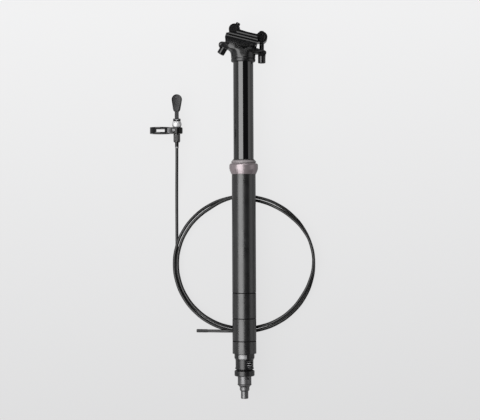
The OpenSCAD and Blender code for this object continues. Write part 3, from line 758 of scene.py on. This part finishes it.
@dataclass
class SlidingPost(Assembly):
    """The sliding tube and the forged head on it."""

    edges_mm: dict[str, float] = field(default_factory=lambda: {"stanchion": 0.0, "post_head": 0.0})
    cell_mm: float = 0.42
    passes: int = 9
    flare_passes: int = 70
    flare_mm: Pair = (6.4, 17.5)
    seat_bore_mm: float = 11.58
    washer_bore_mm: float = 5.13
    bolt_bore_mm: float = 4.0
    bolt_head_bore_mm: float = 5.85
    wall_mm: float = 14.6
    rear_mm: float = -12.0
    near_mm: float = 0.3
    face_mm: Point = (46.0, -1.0, 15.9)
    flat_mm: float = 10.8
    flat_z_mm: float = 15.4
    turn_in_mm: float = 20.0
    turn_spare_mm: float = 2.0
    ledge_mm: float = 1.4
    ledge_room_mm: float = 12.0
    neck_mm: float = 16.1
    neck_spread: float = 0.03
    ear_from_mm: float = 11.0
    ear_deep_mm: float = 11.8
    ear_taper_mm: Pair = (4.0, 16.4)
    ear_fade_mm: Pair = (18.0, 4.0)
    ear_fall_mm: float = 2.2

    # heights above the head's foot and the neck's radius there
    NECK: ClassVar[tuple[Pair, ...]] = (
        (8.0, 16.1), (11.0, 16.4), (13.0, 17.0), (14.5, 17.8),
        (15.5, 18.9), (16.5, 20.6), (17.6, 24.0), (18.6, 40.0),
    )
    # a place along the bar, the height of the bar's lower edge there and the edge's slope
    EDGE: ClassVar[Point] = (-8.0, 15.6, -0.06)
    # an ear's tip, the height of its middle line there, that line's slope and the ear's rounding
    REAR_EAR: ClassVar[tuple[float, ...]] = (-28.0, 22.9, -0.26, 4.5)
    FRONT_EAR: ClassVar[tuple[float, ...]] = (27.4, 12.4, -0.2, 3.5)

    def shape(self, node: str, piece: Piece) -> None:
        """Forges the head: a round neck that flares into the flat-sided bar.

        Args:
            node: the solid's name.
            piece: its copy.
        """
        if node != "post_head":
            return
        Bench.forge(piece, self.cell_mm)
        for corner in piece.data.vertices:
            x, y, z = corner.co / MM
            up = y - HEAD_Y_MM
            out = math.hypot(x, z)
            if up < self.NECK[0][0] or out < self.wall_mm:
                continue
            if x < self.rear_mm:
                tight = min(1.0, self.neck(up) / out)
                x, z = x * tight, z * tight
            deep = abs(z)
            if abs(deep - self.side_face(x)) < self.near_mm:
                deep = self.forged_face(x)
            deep = min(deep, self.neck_depth(x, up)) - self.ear_round(x, up)
            corner.co = (x * MM, y * MM, math.copysign(deep, z) * MM)
        flare = piece.vertex_groups.new(name="flare")
        low, high = self.flare_mm
        for corner in piece.data.vertices:
            up = corner.co.y / MM - HEAD_Y_MM
            flare.add([corner.index], unit(up - low) * unit(high - up), "REPLACE")
        Bench.soften(piece, self.flare_passes, flare.name)
        Bench.soften(piece, self.passes)
        self.clear_bores(piece)

    def clear_bores(self, piece: Piece) -> None:
        """Presses the forged skin back out of the cradle's seat and the bolts' and washers' room.

        Args:
            piece: the forged head.
        """
        across = Vector((0.0, 0.0, 1.0))
        foot_of_head = Vector((0.0, HEAD_Y_MM, 0.0))
        bores = [(Vector((*SaddleClamp.rock_mm, 0.0)), across, self.seat_bore_mm, self.seat_bore_mm)]
        for foot, nut, _ in SaddleClamp.BOLTS.values():
            place = Vector((*foot, 0.0)) + foot_of_head
            shank = (Vector((*nut, 0.0)) - Vector((*foot, 0.0))).normalized()
            bores.append((place, across, self.washer_bore_mm, self.washer_bore_mm))
            bores.append((place, shank, self.bolt_bore_mm, self.bolt_head_bore_mm))
        for corner in piece.data.vertices:
            for place, axis, ahead, behind in bores:
                reach = corner.co / MM - place
                along = reach.dot(axis)
                out = reach - along * axis
                room = ahead if along > 0.0 else behind
                if 1e-6 < out.length < room:
                    corner.co += out.normalized() * (room - out.length) * MM

    def neck(self, up: float) -> float:
        """Gives the neck's radius at a height above the head's foot, in millimetres."""
        for (low, start), (high, end) in zip(self.NECK, self.NECK[1:]):
            if up <= high:
                return start + (end - start) * (up - low) / (high - low)
        return self.NECK[-1][1]

    def neck_depth(self, x: float, up: float) -> float:
        """Gives how far the head may stand from the middle plane below the bar's edge.

        Args:
            x: the place along the bar, in millimetres.
            up: the height above the head's foot.

        Returns:
            The depth of the round neck or of the ear, or a large one above the edge.
        """
        at, height, slope = self.EDGE
        edge = height + slope * (x - at)
        above = unit((up - edge + self.ledge_mm) / self.ledge_mm)
        radius = self.neck_mm + self.neck_spread * up
        ear = 0.0
        if abs(x) > self.ear_from_mm:
            fall, run = self.ear_taper_mm
            ear = self.ear_deep_mm - fall * (abs(x) - self.ear_from_mm) / run
        return max(ear, math.sqrt(max(0.0, radius**2 - x**2))) + self.ledge_room_mm * above**2

    def ear_round(self, x: float, up: float) -> float:
        """Gives how far an ear's side falls back above and below the ear's middle line.

        Args:
            x: the place along the bar, in millimetres.
            up: the height above the head's foot.

        Returns:
            The fall, which is none between the ears.
        """
        tip, height, slope, radius = self.REAR_EAR if x < 0.0 else self.FRONT_EAR
        middle = height + slope * (x - tip)
        start, run = self.ear_fade_mm
        fade = unit((abs(x) - start) / run)
        return self.ear_fall_mm * fade * min(1.0, (up - middle) ** 2 / radius**2)

    def side_face(self, x: float) -> float:
        """Gives how far the solid's side face stands from the middle plane, in millimetres."""
        radius, middle, high = self.face_mm
        return high - radius + math.sqrt(radius**2 - (x - middle) ** 2)

    def forged_face(self, x: float) -> float:
        """Gives the same of the forged face, which is flat and turns in towards the ears."""
        beyond = min(self.turn_in_mm - self.turn_spare_mm, max(0.0, abs(x) - self.flat_mm))
        return self.flat_z_mm - self.turn_in_mm + math.sqrt(self.turn_in_mm**2 - beyond**2)


@dataclass
class SaddleClamp(Assembly):
    """The cradle, the plate over the rails and the two bolts with their nuts."""

    edges_mm: dict[str, float] = field(
        default_factory=lambda: {
            "lower_cradle": 0.35, "upper_clamp": 0.4, "front_nut": 0.25, "rear_nut": 0.25,
            "front_bolt": 0.3, "rear_bolt": 0.3, "front_washer": 0.2, "rear_washer": 0.2,
        }
    )
    shank_mm: float = 3.0
    pitch_mm: float = 1.0
    crest_mm: float = 0.15
    root_mm: float = 0.15
    flank_share: float = 0.42
    thread_steps: int = 24
    thread_from_mm: float = 8.0
    thread_spare_mm: float = 1.4
    rock_mm: Pair = (0.0, 178.8)
    tilt: float = 14.0
    near_mm: float = 0.1
    side_mm: float = 30.0
    band_mm: float = 29.2
    rocker_mm: float = 11.6
    skirt_mm: float = 4.0
    skirt_run_mm: Pair = (18.0, 38.0)
    skirt_top_mm: float = -5.5
    skirt_inner_mm: float = 16.5
    skirt_outer_mm: float = 27.0
    skirt_face_mm: float = 29.6
    scarf_spare_mm: float = 1.0
    sliver_mm: float = 0.02
    ridge_mm: Pair = (-10.5, 17.5)
    ridge_edge_mm: float = 0.2

    # the height of each jaw's side band in the clamp's own frame
    BANDS_MM: ClassVar[dict[str, float]] = {"upper_clamp": 3.4, "lower_cradle": -1.3}
    # what is cut off the rear of the upper jaws: the inner face and the outline seen from the side
    SCARF: ClassVar[tuple[tuple[float, tuple[Pair, ...]], ...]] = (
        (9.5, ((-26.0, -0.49), (-19.997, 2.95), (-19.997, 9.5), (-26.0, 9.5))),
        (12.0, ((-21.0, 2.38), (-9.5, 8.96), (-9.5, 9.5), (-21.0, 9.5))),
    )
    # the ridge's section, from the middle plane outwards and upwards
    RIDGE: ClassVar[tuple[Pair, ...]] = ((27.9, 4.8), (26.9, 7.0), (26.2, 7.1), (25.4, 6.1))
    # each bolt's foot and nut, measured from the head's foot, and its length
    BOLTS: ClassVar[dict[str, tuple[Pair, Pair, float]]] = {
        "front_bolt": ((24.6, 7.8), (24.6, 32.0), 33.6),
        "rear_bolt": ((-25.5, 18.9), (-11.5, 42.6), 38.6),
    }

    def shape(self, node: str, piece: Piece) -> None:
        """Slants the jaws' side bands, deepens the cradle's sides and cuts the upper jaws' rear.

        Args:
            node: the solid's name.
            piece: its copy.
        """
        if node not in self.BANDS_MM:
            return
        cos, sin = math.cos(math.radians(self.tilt)), math.sin(math.radians(self.tilt))
        front, run = self.skirt_run_mm
        for corner in piece.data.vertices:
            x, y, z = corner.co / MM
            x, y = x - self.rock_mm[0], y - self.rock_mm[1]
            along, up = x * cos - y * sin, x * sin + y * cos
            if abs(z) > self.side_mm - self.near_mm and abs(up - self.BANDS_MM[node]) < self.near_mm:
                z = math.copysign(self.band_mm, z)
            beside = abs(z) > self.skirt_inner_mm and math.hypot(along, up) > self.rocker_mm
            if node == "lower_cradle" and up < self.skirt_top_mm and beside:
                up -= self.skirt_mm * unit((front - along) / run)
                z = math.copysign(self.skirt_face_mm, z) if abs(z) > self.skirt_outer_mm else z
            x, y = along * cos + up * sin, up * cos - along * sin
            corner.co = Vector((x + self.rock_mm[0], y + self.rock_mm[1], z)) * MM
        if node == "upper_clamp":
            self.cut_scarf(piece)

    def cut_scarf(self, piece: Piece) -> None:
        """Cuts the upper jaws' rear ends to a slant.

        Args:
            piece: the plate over the rails.
        """
        for inner, outline in self.SCARF:
            section = [(*place, inner) for place in outline]
            cutter = Bench.drawn("scarf", section, (0.0, 0.0, self.side_mm + self.scarf_spare_mm - inner))
            Bench.seat_at(cutter, (*self.rock_mm, 0.0), (0.0, 0.0, -self.tilt))
            Bench.cut(piece, cutter, Cut.OUTSIDE)
            Bench.merge(piece, self.sliver_mm)

    def trim(self) -> None:
        """Lays the ridge along the upper jaws and winds the thread of each bolt."""
        ridge = self.ridge("jaw_ridges")
        Bench.seat_at(ridge, (*self.rock_mm, 0.0), (0.0, 0.0, -self.tilt))
        Bench.settle(ridge, "clamp_black", Bench.body_of("upper_clamp"))
        for bolt, (foot, nut, reach) in self.BOLTS.items():
            slope = math.degrees(math.atan2(nut[1] - foot[1], nut[0] - foot[0]))
            thread = self.thread(f"{bolt}_thread", reach - self.thread_from_mm - self.thread_spare_mm)
            Bench.seat_at(thread, (0.0, 0.0, self.thread_from_mm))
            Bench.seat_at(thread, (0.0, 0.0, 0.0), (0.0, 90.0, 0.0))
            Bench.seat_at(thread, (foot[0], HEAD_Y_MM + foot[1], 0.0), (0.0, 0.0, slope))
            Bench.settle(thread, "bolt_black", Bench.body_of(bolt))

    def ridge(self, name: str) -> Piece:
        """Draws the ridge's section along the jaws and mirrors it to the far side.

        Args:
            name: the ridges' name.

        Returns:
            Both ridges as one closed mesh, in the clamp's own frame.
        """
        start, end = self.ridge_mm
        piece = Bench.drawn(name, [(start, up, out) for out, up in self.RIDGE], (end - start, 0.0, 0.0))
        Bench.round_edges(piece, self.ridge_edge_mm)
        return piece

    def thread(self, name: str, length_mm: float) -> Piece:
        """Winds a thread's ridge up the Z axis.

        Args:
            name: the ridge's name.
            length_mm: how far it climbs.

        Returns:
            The ridge, a closed mesh.
        """
        root, rise = self.shank_mm - self.root_mm, self.flank_share * self.pitch_mm
        crest = self.shank_mm + self.crest_mm
        thread = Bench.outline(name, ((root, 0.0, -rise), (crest, 0.0, 0.0), (root, 0.0, rise)))
        Bench.apply(
            thread,
            "SCREW",
            axis="Z",
            angle=math.tau,
            screw_offset=self.pitch_mm * MM,
            iterations=int(length_mm / self.pitch_mm),
            steps=self.thread_steps,
            render_steps=self.thread_steps,
            use_smooth_shade=False,
        )
        Bench.close_up(thread)
        Bench.round_edges(thread, 0.0)
        return thread


@dataclass
class CableActuator(Assembly):
    """The black housing at the tube's foot and the silver coupler in it."""

    edges_mm: dict[str, float] = field(
        default_factory=lambda: {
            "actuator_housing": 0.2, "retaining_clip": 0.2, "lock_ring": 0.2, "cable_coupler": 0.15,
            "coupler_tip": 0.15, "coupler_screw": 0.1, "return_spring": 0.0,
        }
    )
    # the spring takes a colour lighter than steel, a painted highlight for the shade it lies in behind the
    # window
    finishes: dict[str, str] = field(
        default_factory=lambda: {"retaining_clip": "clip_dull", "return_spring": "spring_bright"}
    )
    joint_y_mm: float = -257.2
    flare_mm: float = 12.0
    step_mm: Pair = (-0.8, -0.6)
    step_drop_mm: float = 0.8
    spring_roof_mm: float = -244.0
    spring_keep: float = 0.66

    # from and to which height about the joint a solid's skin is drawn in, and to which radius
    GROOVE_MM: ClassVar[dict[str, Point]] = {
        "actuator_housing": (-0.1, 0.5, 10.6),
        "lock_ring": (-0.1, 0.1, 11.0),
    }

    def shape(self, node: str, piece: Piece) -> None:
        """Opens a groove between the housing's flare and the lock ring.

        Args:
            node: the solid's name.
            piece: its copy.
        """
        if node not in self.GROOVE_MM:
            return
        low, high, floor = self.GROOVE_MM[node]
        for corner in piece.data.vertices:
            x, y, z = corner.co / MM
            out, up = math.hypot(x, z), y - self.joint_y_mm
            if out > self.flare_mm and low < up < high:
                corner.co.x *= floor / out
                corner.co.z *= floor / out
            elif out > self.flare_mm and node == "lock_ring" and self.step_mm[0] < up < self.step_mm[1]:
                corner.co.y -= self.step_drop_mm * MM

    def trim(self) -> None:
        """Gives the return spring's copy a mesh of its own."""
        spring = bpy.data.objects["return_spring_finished"]
        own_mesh(spring)


@dataclass
class ThumbRemote(Assembly):
    """The handlebar ring, the ball, the thumb lever and the cable adjuster."""

    edges_mm: dict[str, float] = field(
        default_factory=lambda: {
            "bar_clamp": 0.3, "clamp_bolt": 0.2, "clamp_shoe": 0.2, "swivel_ball": 0.15,
            "lever_yoke": 0.25, "paddle_pin": 0.1, "paddle": 0.5, "thumb_pad": 0.25, "inner_wire": 0.1,
            "barrel_adjuster": 0.2, "adjuster_ferrule": 0.15,
        }
    )
    finishes: dict[str, str] = field(
        default_factory=lambda: {
            "swivel_ball": "ball_satin", "clamp_bolt": "clip_dull", "barrel_adjuster": "adjuster_gloss",
            "paddle": "remote_black",
        }
    )
    pad_y_mm: float = 97.0
    rib_mm: Point = (0.34, 44.0, 6.0)
    rib_rows: int = 32
    rib_gap_mm: float = 1.05
    rib_rise_mm: float = 0.16
    rib_slant: float = 40.0
    crimp_y_mm: float = 38.2
    crimp_mm: tuple[float, ...] = (2.02, 2.45, 1.7, 0.2)

    def trim(self) -> None:
        """Lays the pad's crossed ribs and the bright crimp below the adjuster."""
        for side, slant in (("left", -self.rib_slant), ("right", self.rib_slant)):
            ribs = self.ribs(f"pad_ribs_{side}", slant)
            Bench.settle(ribs, "paddle_grey", Bench.body_of("thumb_pad"))
        crimp = Bench.ring("housing_crimp", *self.crimp_mm)
        Bench.seat_at(crimp, (LEVER_X_MM, self.crimp_y_mm, LEVER_Z_MM))
        Bench.settle(crimp, "clip_silver", "post")
        Palette.give(crimp, "clip_dull")

    def ribs(self, name: str, slant: float) -> Piece:
        """Lays slanting ribs over the thumb pad's dish.

        Args:
            name: the ribs' name.
            slant: their turn from the lever's length, in degrees.

        Returns:
            The ribs, cut to the pad's outline and raised a little above it.
        """
        Bench.free()
        bpy.ops.mesh.primitive_cube_add(size=1.0)
        ribs = bpy.context.object
        ribs.name = name
        ribs.scale = [side * MM for side in self.rib_mm]
        bpy.ops.object.transform_apply(location=True, rotation=True, scale=True)
        Bench.apply(
            ribs,
            "ARRAY",
            count=self.rib_rows,
            use_relative_offset=False,
            use_constant_offset=True,
            constant_offset_displace=(self.rib_gap_mm * MM, 0.0, 0.0),
        )
        Bench.seat_at(ribs, (-0.5 * (self.rib_rows - 1) * self.rib_gap_mm, 0.0, 0.0))
        Bench.seat_at(ribs, (LEVER_X_MM, self.pad_y_mm, LEVER_Z_MM), (0.0, 0.0, slant))
        skin = Bench.copy_of("thumb_pad")
        Bench.seat_at(skin, (0.0, 0.0, self.rib_rise_mm))
        Bench.cut(ribs, skin, Cut.INSIDE)
        Bench.round_edges(ribs, 0.0)
        return ribs


@dataclass
class InnerWorks(Assembly):
    """The solids that stay as they are, most of them inside the tubes."""

    def build(self) -> None:
        """Gives every solid that is still shown its finish."""
        for node, solid in frame["nodes"].items():
            if not solid.hide_render:
                Palette.give(solid, Palette.slot_of(node))


@dataclass
class CableHousing(Assembly):
    """The black cable housing, from the remote through its loops to its end cap."""

    radius: float = 2.0 * MM
    lie_mm: float = -27.98
    lean_mm: float = 1.0
    centre_mm: Pair = (0.0, -118.05)
    reach_mm: Pair = (93.65, 90.9)
    turned: int = 984
    step: int = 15
    layer_mm: float = 4.5
    lead_in_turn: float = 50.0
    cap_edge_mm: float = 0.2

    # the degrees from and to which the loops step inwards or upwards, and by how many layers
    INSIDE: ClassVar[tuple[Point, ...]] = ((630, 665, 1), (865, 912, -1), (912, 960, 1))
    ABOVE: ClassVar[tuple[Point, ...]] = ((290, 330, 1), (775, 815, -1), (812, 852, 2), (958, 982, -2))
    # places along Y on the lead, with its share of the way down to the floor
    LEAD: ClassVar[tuple[Pair, ...]] = (
        (39.15, 0.0), (34.0, 0.0), (28.0, 0.02), (20.0, 0.11), (10.0, 0.3), (0.0, 0.52), (-10.0, 0.71),
        (-20.0, 0.86), (-32.0, 0.97), (-44.0, 1.0), (-60.0, 1.0), (-76.0, 1.0), (-92.0, 1.0), (-106.0, 1.0),
    )
    # places on the tail, with the layers it lies above the floor
    TAIL: ClassVar[tuple[Point, ...]] = (
        (6.5, -31.95, 0.0), (0.0, -32.5, 0.0), (-5.6, -35.2, 0.0), (-10.0, -39.7, 0.0), (-12.7, -45.6, 0.0),
        (-13.3, -51.0, 0.0), (-13.2, -60.0, 0.0), (-12.2, -75.0, 0.05), (-9.5, -92.0, 0.25),
        (-5.5, -110.0, 0.55), (-1.0, -128.0, 0.9), (3.5, -146.0, 1.3), (7.2, -163.0, 1.65),
        (9.2, -177.0, 2.0), (9.6, -189.4, 2.1), (8.5, -195.8, 2.1), (5.4, -201.3, 2.1), (0.6, -205.3, 2.1),
        (-4.7, -207.3, 2.1), (-10.0, -207.7, 2.1), (-16.0, -207.7, 2.1), (-24.0, -207.7, 2.0),
        (-34.0, -207.7, 1.6), (-44.0, -207.7, 1.15), (-49.5, -207.7, 0.91),
    )

    @staticmethod
    def ease(value: float, start: float, end: float) -> float:
        """Gives a smooth rise from 0 at start to 1 at end."""
        share = unit((value - start) / (end - start))
        return share * share * (3.0 - 2.0 * share)

    def layers(self, steps: tuple[Point, ...], angle: float) -> float:
        """Adds up the steps that the loops have taken by an angle."""
        return sum(size * self.ease(angle, start, end) for start, end, size in steps)

    def on_loops(self, angle: float) -> Point:
        """Gives a place on the loops.

        Args:
            angle: the degrees turned from the remote's end.

        Returns:
            The place, in millimetres.
        """
        lead_in = self.reach_mm[0] + LEVER_X_MM - self.lean_mm
        side = -lead_in * (1.0 - self.ease(angle, 0.0, self.lead_in_turn))
        side -= self.layer_mm * self.layers(self.INSIDE, angle)
        turn = math.radians(180.0 + angle)
        return (
            self.centre_mm[0] + (self.reach_mm[0] + side) * math.cos(turn),
            self.centre_mm[1] + (self.reach_mm[1] + side) * math.sin(turn),
            self.lie_mm + self.layer_mm * self.layers(self.ABOVE, angle),
        )

    def route(self) -> list[Vector]:
        """Gives the housing's middle line from the remote to the end cap."""
        drop = self.lie_mm - LEVER_Z_MM
        lead = [(LEVER_X_MM - self.lean_mm * share, y, LEVER_Z_MM + drop * share) for y, share in self.LEAD]
        loops = [self.on_loops(angle) for angle in [*range(0, self.turned, self.step), self.turned]]
        tail = [(x, y, self.lie_mm + self.layer_mm * layers) for x, y, layers in self.TAIL]
        return [Vector(place) * MM for place in [*lead, *loops, *tail]]

    def build(self) -> None:
        places = self.route()
        curve = bpy.data.curves.new("cable_housing", "CURVE")
        curve.dimensions = "3D"
        curve.bevel_depth = self.radius
        curve.bevel_resolution = 5
        curve.resolution_u = 4
        curve.use_fill_caps = True
        spline = curve.splines.new("BEZIER")
        spline.bezier_points.add(len(places) - 1)
        for knot, place in zip(spline.bezier_points, places):
            knot.co = place
            knot.handle_left_type = knot.handle_right_type = "AUTO"
        piece = bpy.data.objects.new("cable_housing", curve)
        bpy.context.scene.collection.objects.link(piece)
        bpy.context.view_layer.update()
        Bench.settle(piece, "housing_black", "post", "housing_lead", "housing_coil", "housing_tail")
        cap = Bench.copy_of("end_ferrule")
        Bench.round_edges(cap, self.cap_edge_mm)
        Bench.settle(cap, "ferrule_black", "post", "end_ferrule")


@dataclass(frozen=True)
class Lamp:
    """A flat soft lamp that faces the part.

    Attributes:
        name: the lamp's name.
        lean: its lean from straight above towards the part's foot and to the right, in degrees.
        size: its width across the part and its length along it.
        power: its power in watts.
        along: the place along the part that it faces.
    """

    name: str
    lean: Pair
    size: Pair
    power: float
    along: float = -0.045

    DISTANCE: ClassVar[float] = 1.2

    def hang(self) -> None:
        """Hangs the lamp, out of the camera's sight."""
        panel = bpy.data.lights.new(self.name, "AREA")
        panel.shape = "RECTANGLE"
        panel.size, panel.size_y = self.size
        panel.energy = self.power
        lamp = bpy.data.objects.new(self.name, panel)
        lamp.rotation_euler = (math.radians(self.lean[0]), math.radians(self.lean[1]), 0.0)
        away = lamp.rotation_euler.to_matrix() @ Vector((0.0, 0.0, self.DISTANCE))
        lamp.location = away + Vector((0.0, self.along, 0.0))
        lamp.visible_camera = False
        bpy.context.scene.collection.objects.link(lamp)


@dataclass
class Studio:
    """The camera, the pale floor and the soft lamps."""

    camera_at: Point = (-0.0051, -0.0457, 1.85)
    camera_roll: float = -0.25
    seen_width: float = 0.636
    sensor_mm: float = 36.0
    room_tone: Colour = (0.02, 0.02, 0.0205)
    floor_z: float = -30.0 * MM
    floor_size: float = 6.0
    floor_tone: Colour = (0.24, 0.24, 0.242)
    floor_roughness: float = 0.9
    floor_gloss: float = 0.1
    # the marbling's scale, its detail and how dark it gets
    marble: Point = (9.0, 2.0, 0.97)
    glow: float = 0.85
    mirrored_glow: float = 0.25
    far_glow: Colour = (0.985, 0.985, 0.99)
    near_glow: Colour = (0.8, 0.8, 0.805)
    glow_y: Pair = (-0.36, 0.22)

    LAMPS: ClassVar[tuple[Lamp, ...]] = (
        Lamp("key_panel", (0.0, -31.5), (1.13, 2.3), 29.0, -0.36),
        Lamp("right_panel", (0.0, 72.0), (0.76, 0.9), 1.5),
        Lamp("left_panel", (0.0, -77.0), (0.76, 0.9), 0.8),
        Lamp("top_panel", (-46.0, 0.0), (1.2, 0.7), 4.6, 0.15),
    )

    def camera(self) -> None:
        """Sets the camera straight above the part, as the photograph was taken."""
        lens = bpy.data.cameras.new("camera")
        lens.sensor_width = self.sensor_mm
        lens.lens = self.sensor_mm * self.camera_at[2] / self.seen_width
        camera = bpy.data.objects.new("camera", lens)
        camera.location = self.camera_at
        camera.rotation_euler = (0.0, 0.0, math.radians(self.camera_roll))
        bpy.context.scene.collection.objects.link(camera)
        bpy.context.scene.camera = camera
        bpy.context.scene.view_settings.view_transform = "Standard"

    def light(self) -> None:
        """Hangs the lamps and dims the room."""
        for lamp in self.LAMPS:
            lamp.hang()
        world = bpy.data.worlds.new("room")
        world.use_nodes = True
        world.node_tree.nodes["Background"].inputs["Color"].default_value = (*self.room_tone, 1.0)
        bpy.context.scene.world = world

    def floor(self) -> None:
        """Lays the pale floor, which keeps a faint shadow of the part."""
        Bench.free()
        bpy.ops.mesh.primitive_plane_add(size=self.floor_size, location=(0.0, 0.0, self.floor_z))
        ground = bpy.context.object
        ground.name = "floor"
        ground.data.materials.append(self.floor_paint())

    def floor_paint(self) -> bpy.types.Material:
        """Makes the floor's paint, which glows for the camera and less in what mirrors it.

        Returns:
            The finished material.
        """
        wiring = Wiring("pale_floor")
        wiring.shader.inputs["Roughness"].default_value = self.floor_roughness
        wiring.shader.inputs["Specular IOR Level"].default_value = self.floor_gloss
        scale, detail, darkness = self.marble
        dark = tuple(darkness * part for part in self.floor_tone)
        tone = wiring.blend(wiring.noise(wiring.place(), scale, detail), dark, self.floor_tone)
        wiring.join(tone, wiring.shader.inputs["Base Color"])
        place = wiring.add("ShaderNodeSeparateXYZ")
        wiring.join(wiring.place(), place.inputs["Vector"])
        far = wiring.remap(place.outputs["Y"], 0.0, 1.0, *self.glow_y)
        glow = wiring.add("ShaderNodeEmission")
        wiring.join(wiring.blend(far, self.near_glow, self.far_glow), glow.inputs["Color"])
        rays = wiring.add("ShaderNodeLightPath")
        mirrored = wiring.larger(rays.outputs["Is Glossy Ray"], rays.outputs["Is Transmission Ray"])
        share = wiring.larger(
            wiring.remap(rays.outputs["Is Camera Ray"], 0.0, self.glow, 0.0, 1.0),
            wiring.remap(mirrored, 0.0, self.mirrored_glow, 0.0, 1.0),
        )
        mix = wiring.add("ShaderNodeMixShader")
        wiring.join(share, mix.inputs["Fac"])
        wiring.join(wiring.shader.outputs["BSDF"], mix.inputs[1])
        wiring.join(glow.outputs["Emission"], mix.inputs[2])
        wiring.join(mix.outputs["Shader"], wiring.output.inputs["Surface"])
        return wiring.material


def main() -> None:
    """Builds the scene in order."""
    logging.basicConfig(level=logging.INFO, format="%(message)s")
    studio = Studio()
    studio.camera()
    CableHousing().build()
    studio.floor()
    studio.light()
    for group in (FrameTube(), SlidingPost(), SaddleClamp(), CableActuator(), ThumbRemote(), InnerWorks()):
        LOG.info("%s", type(group).__name__)
        group.build()


if __name__ == "__main__":
    main()
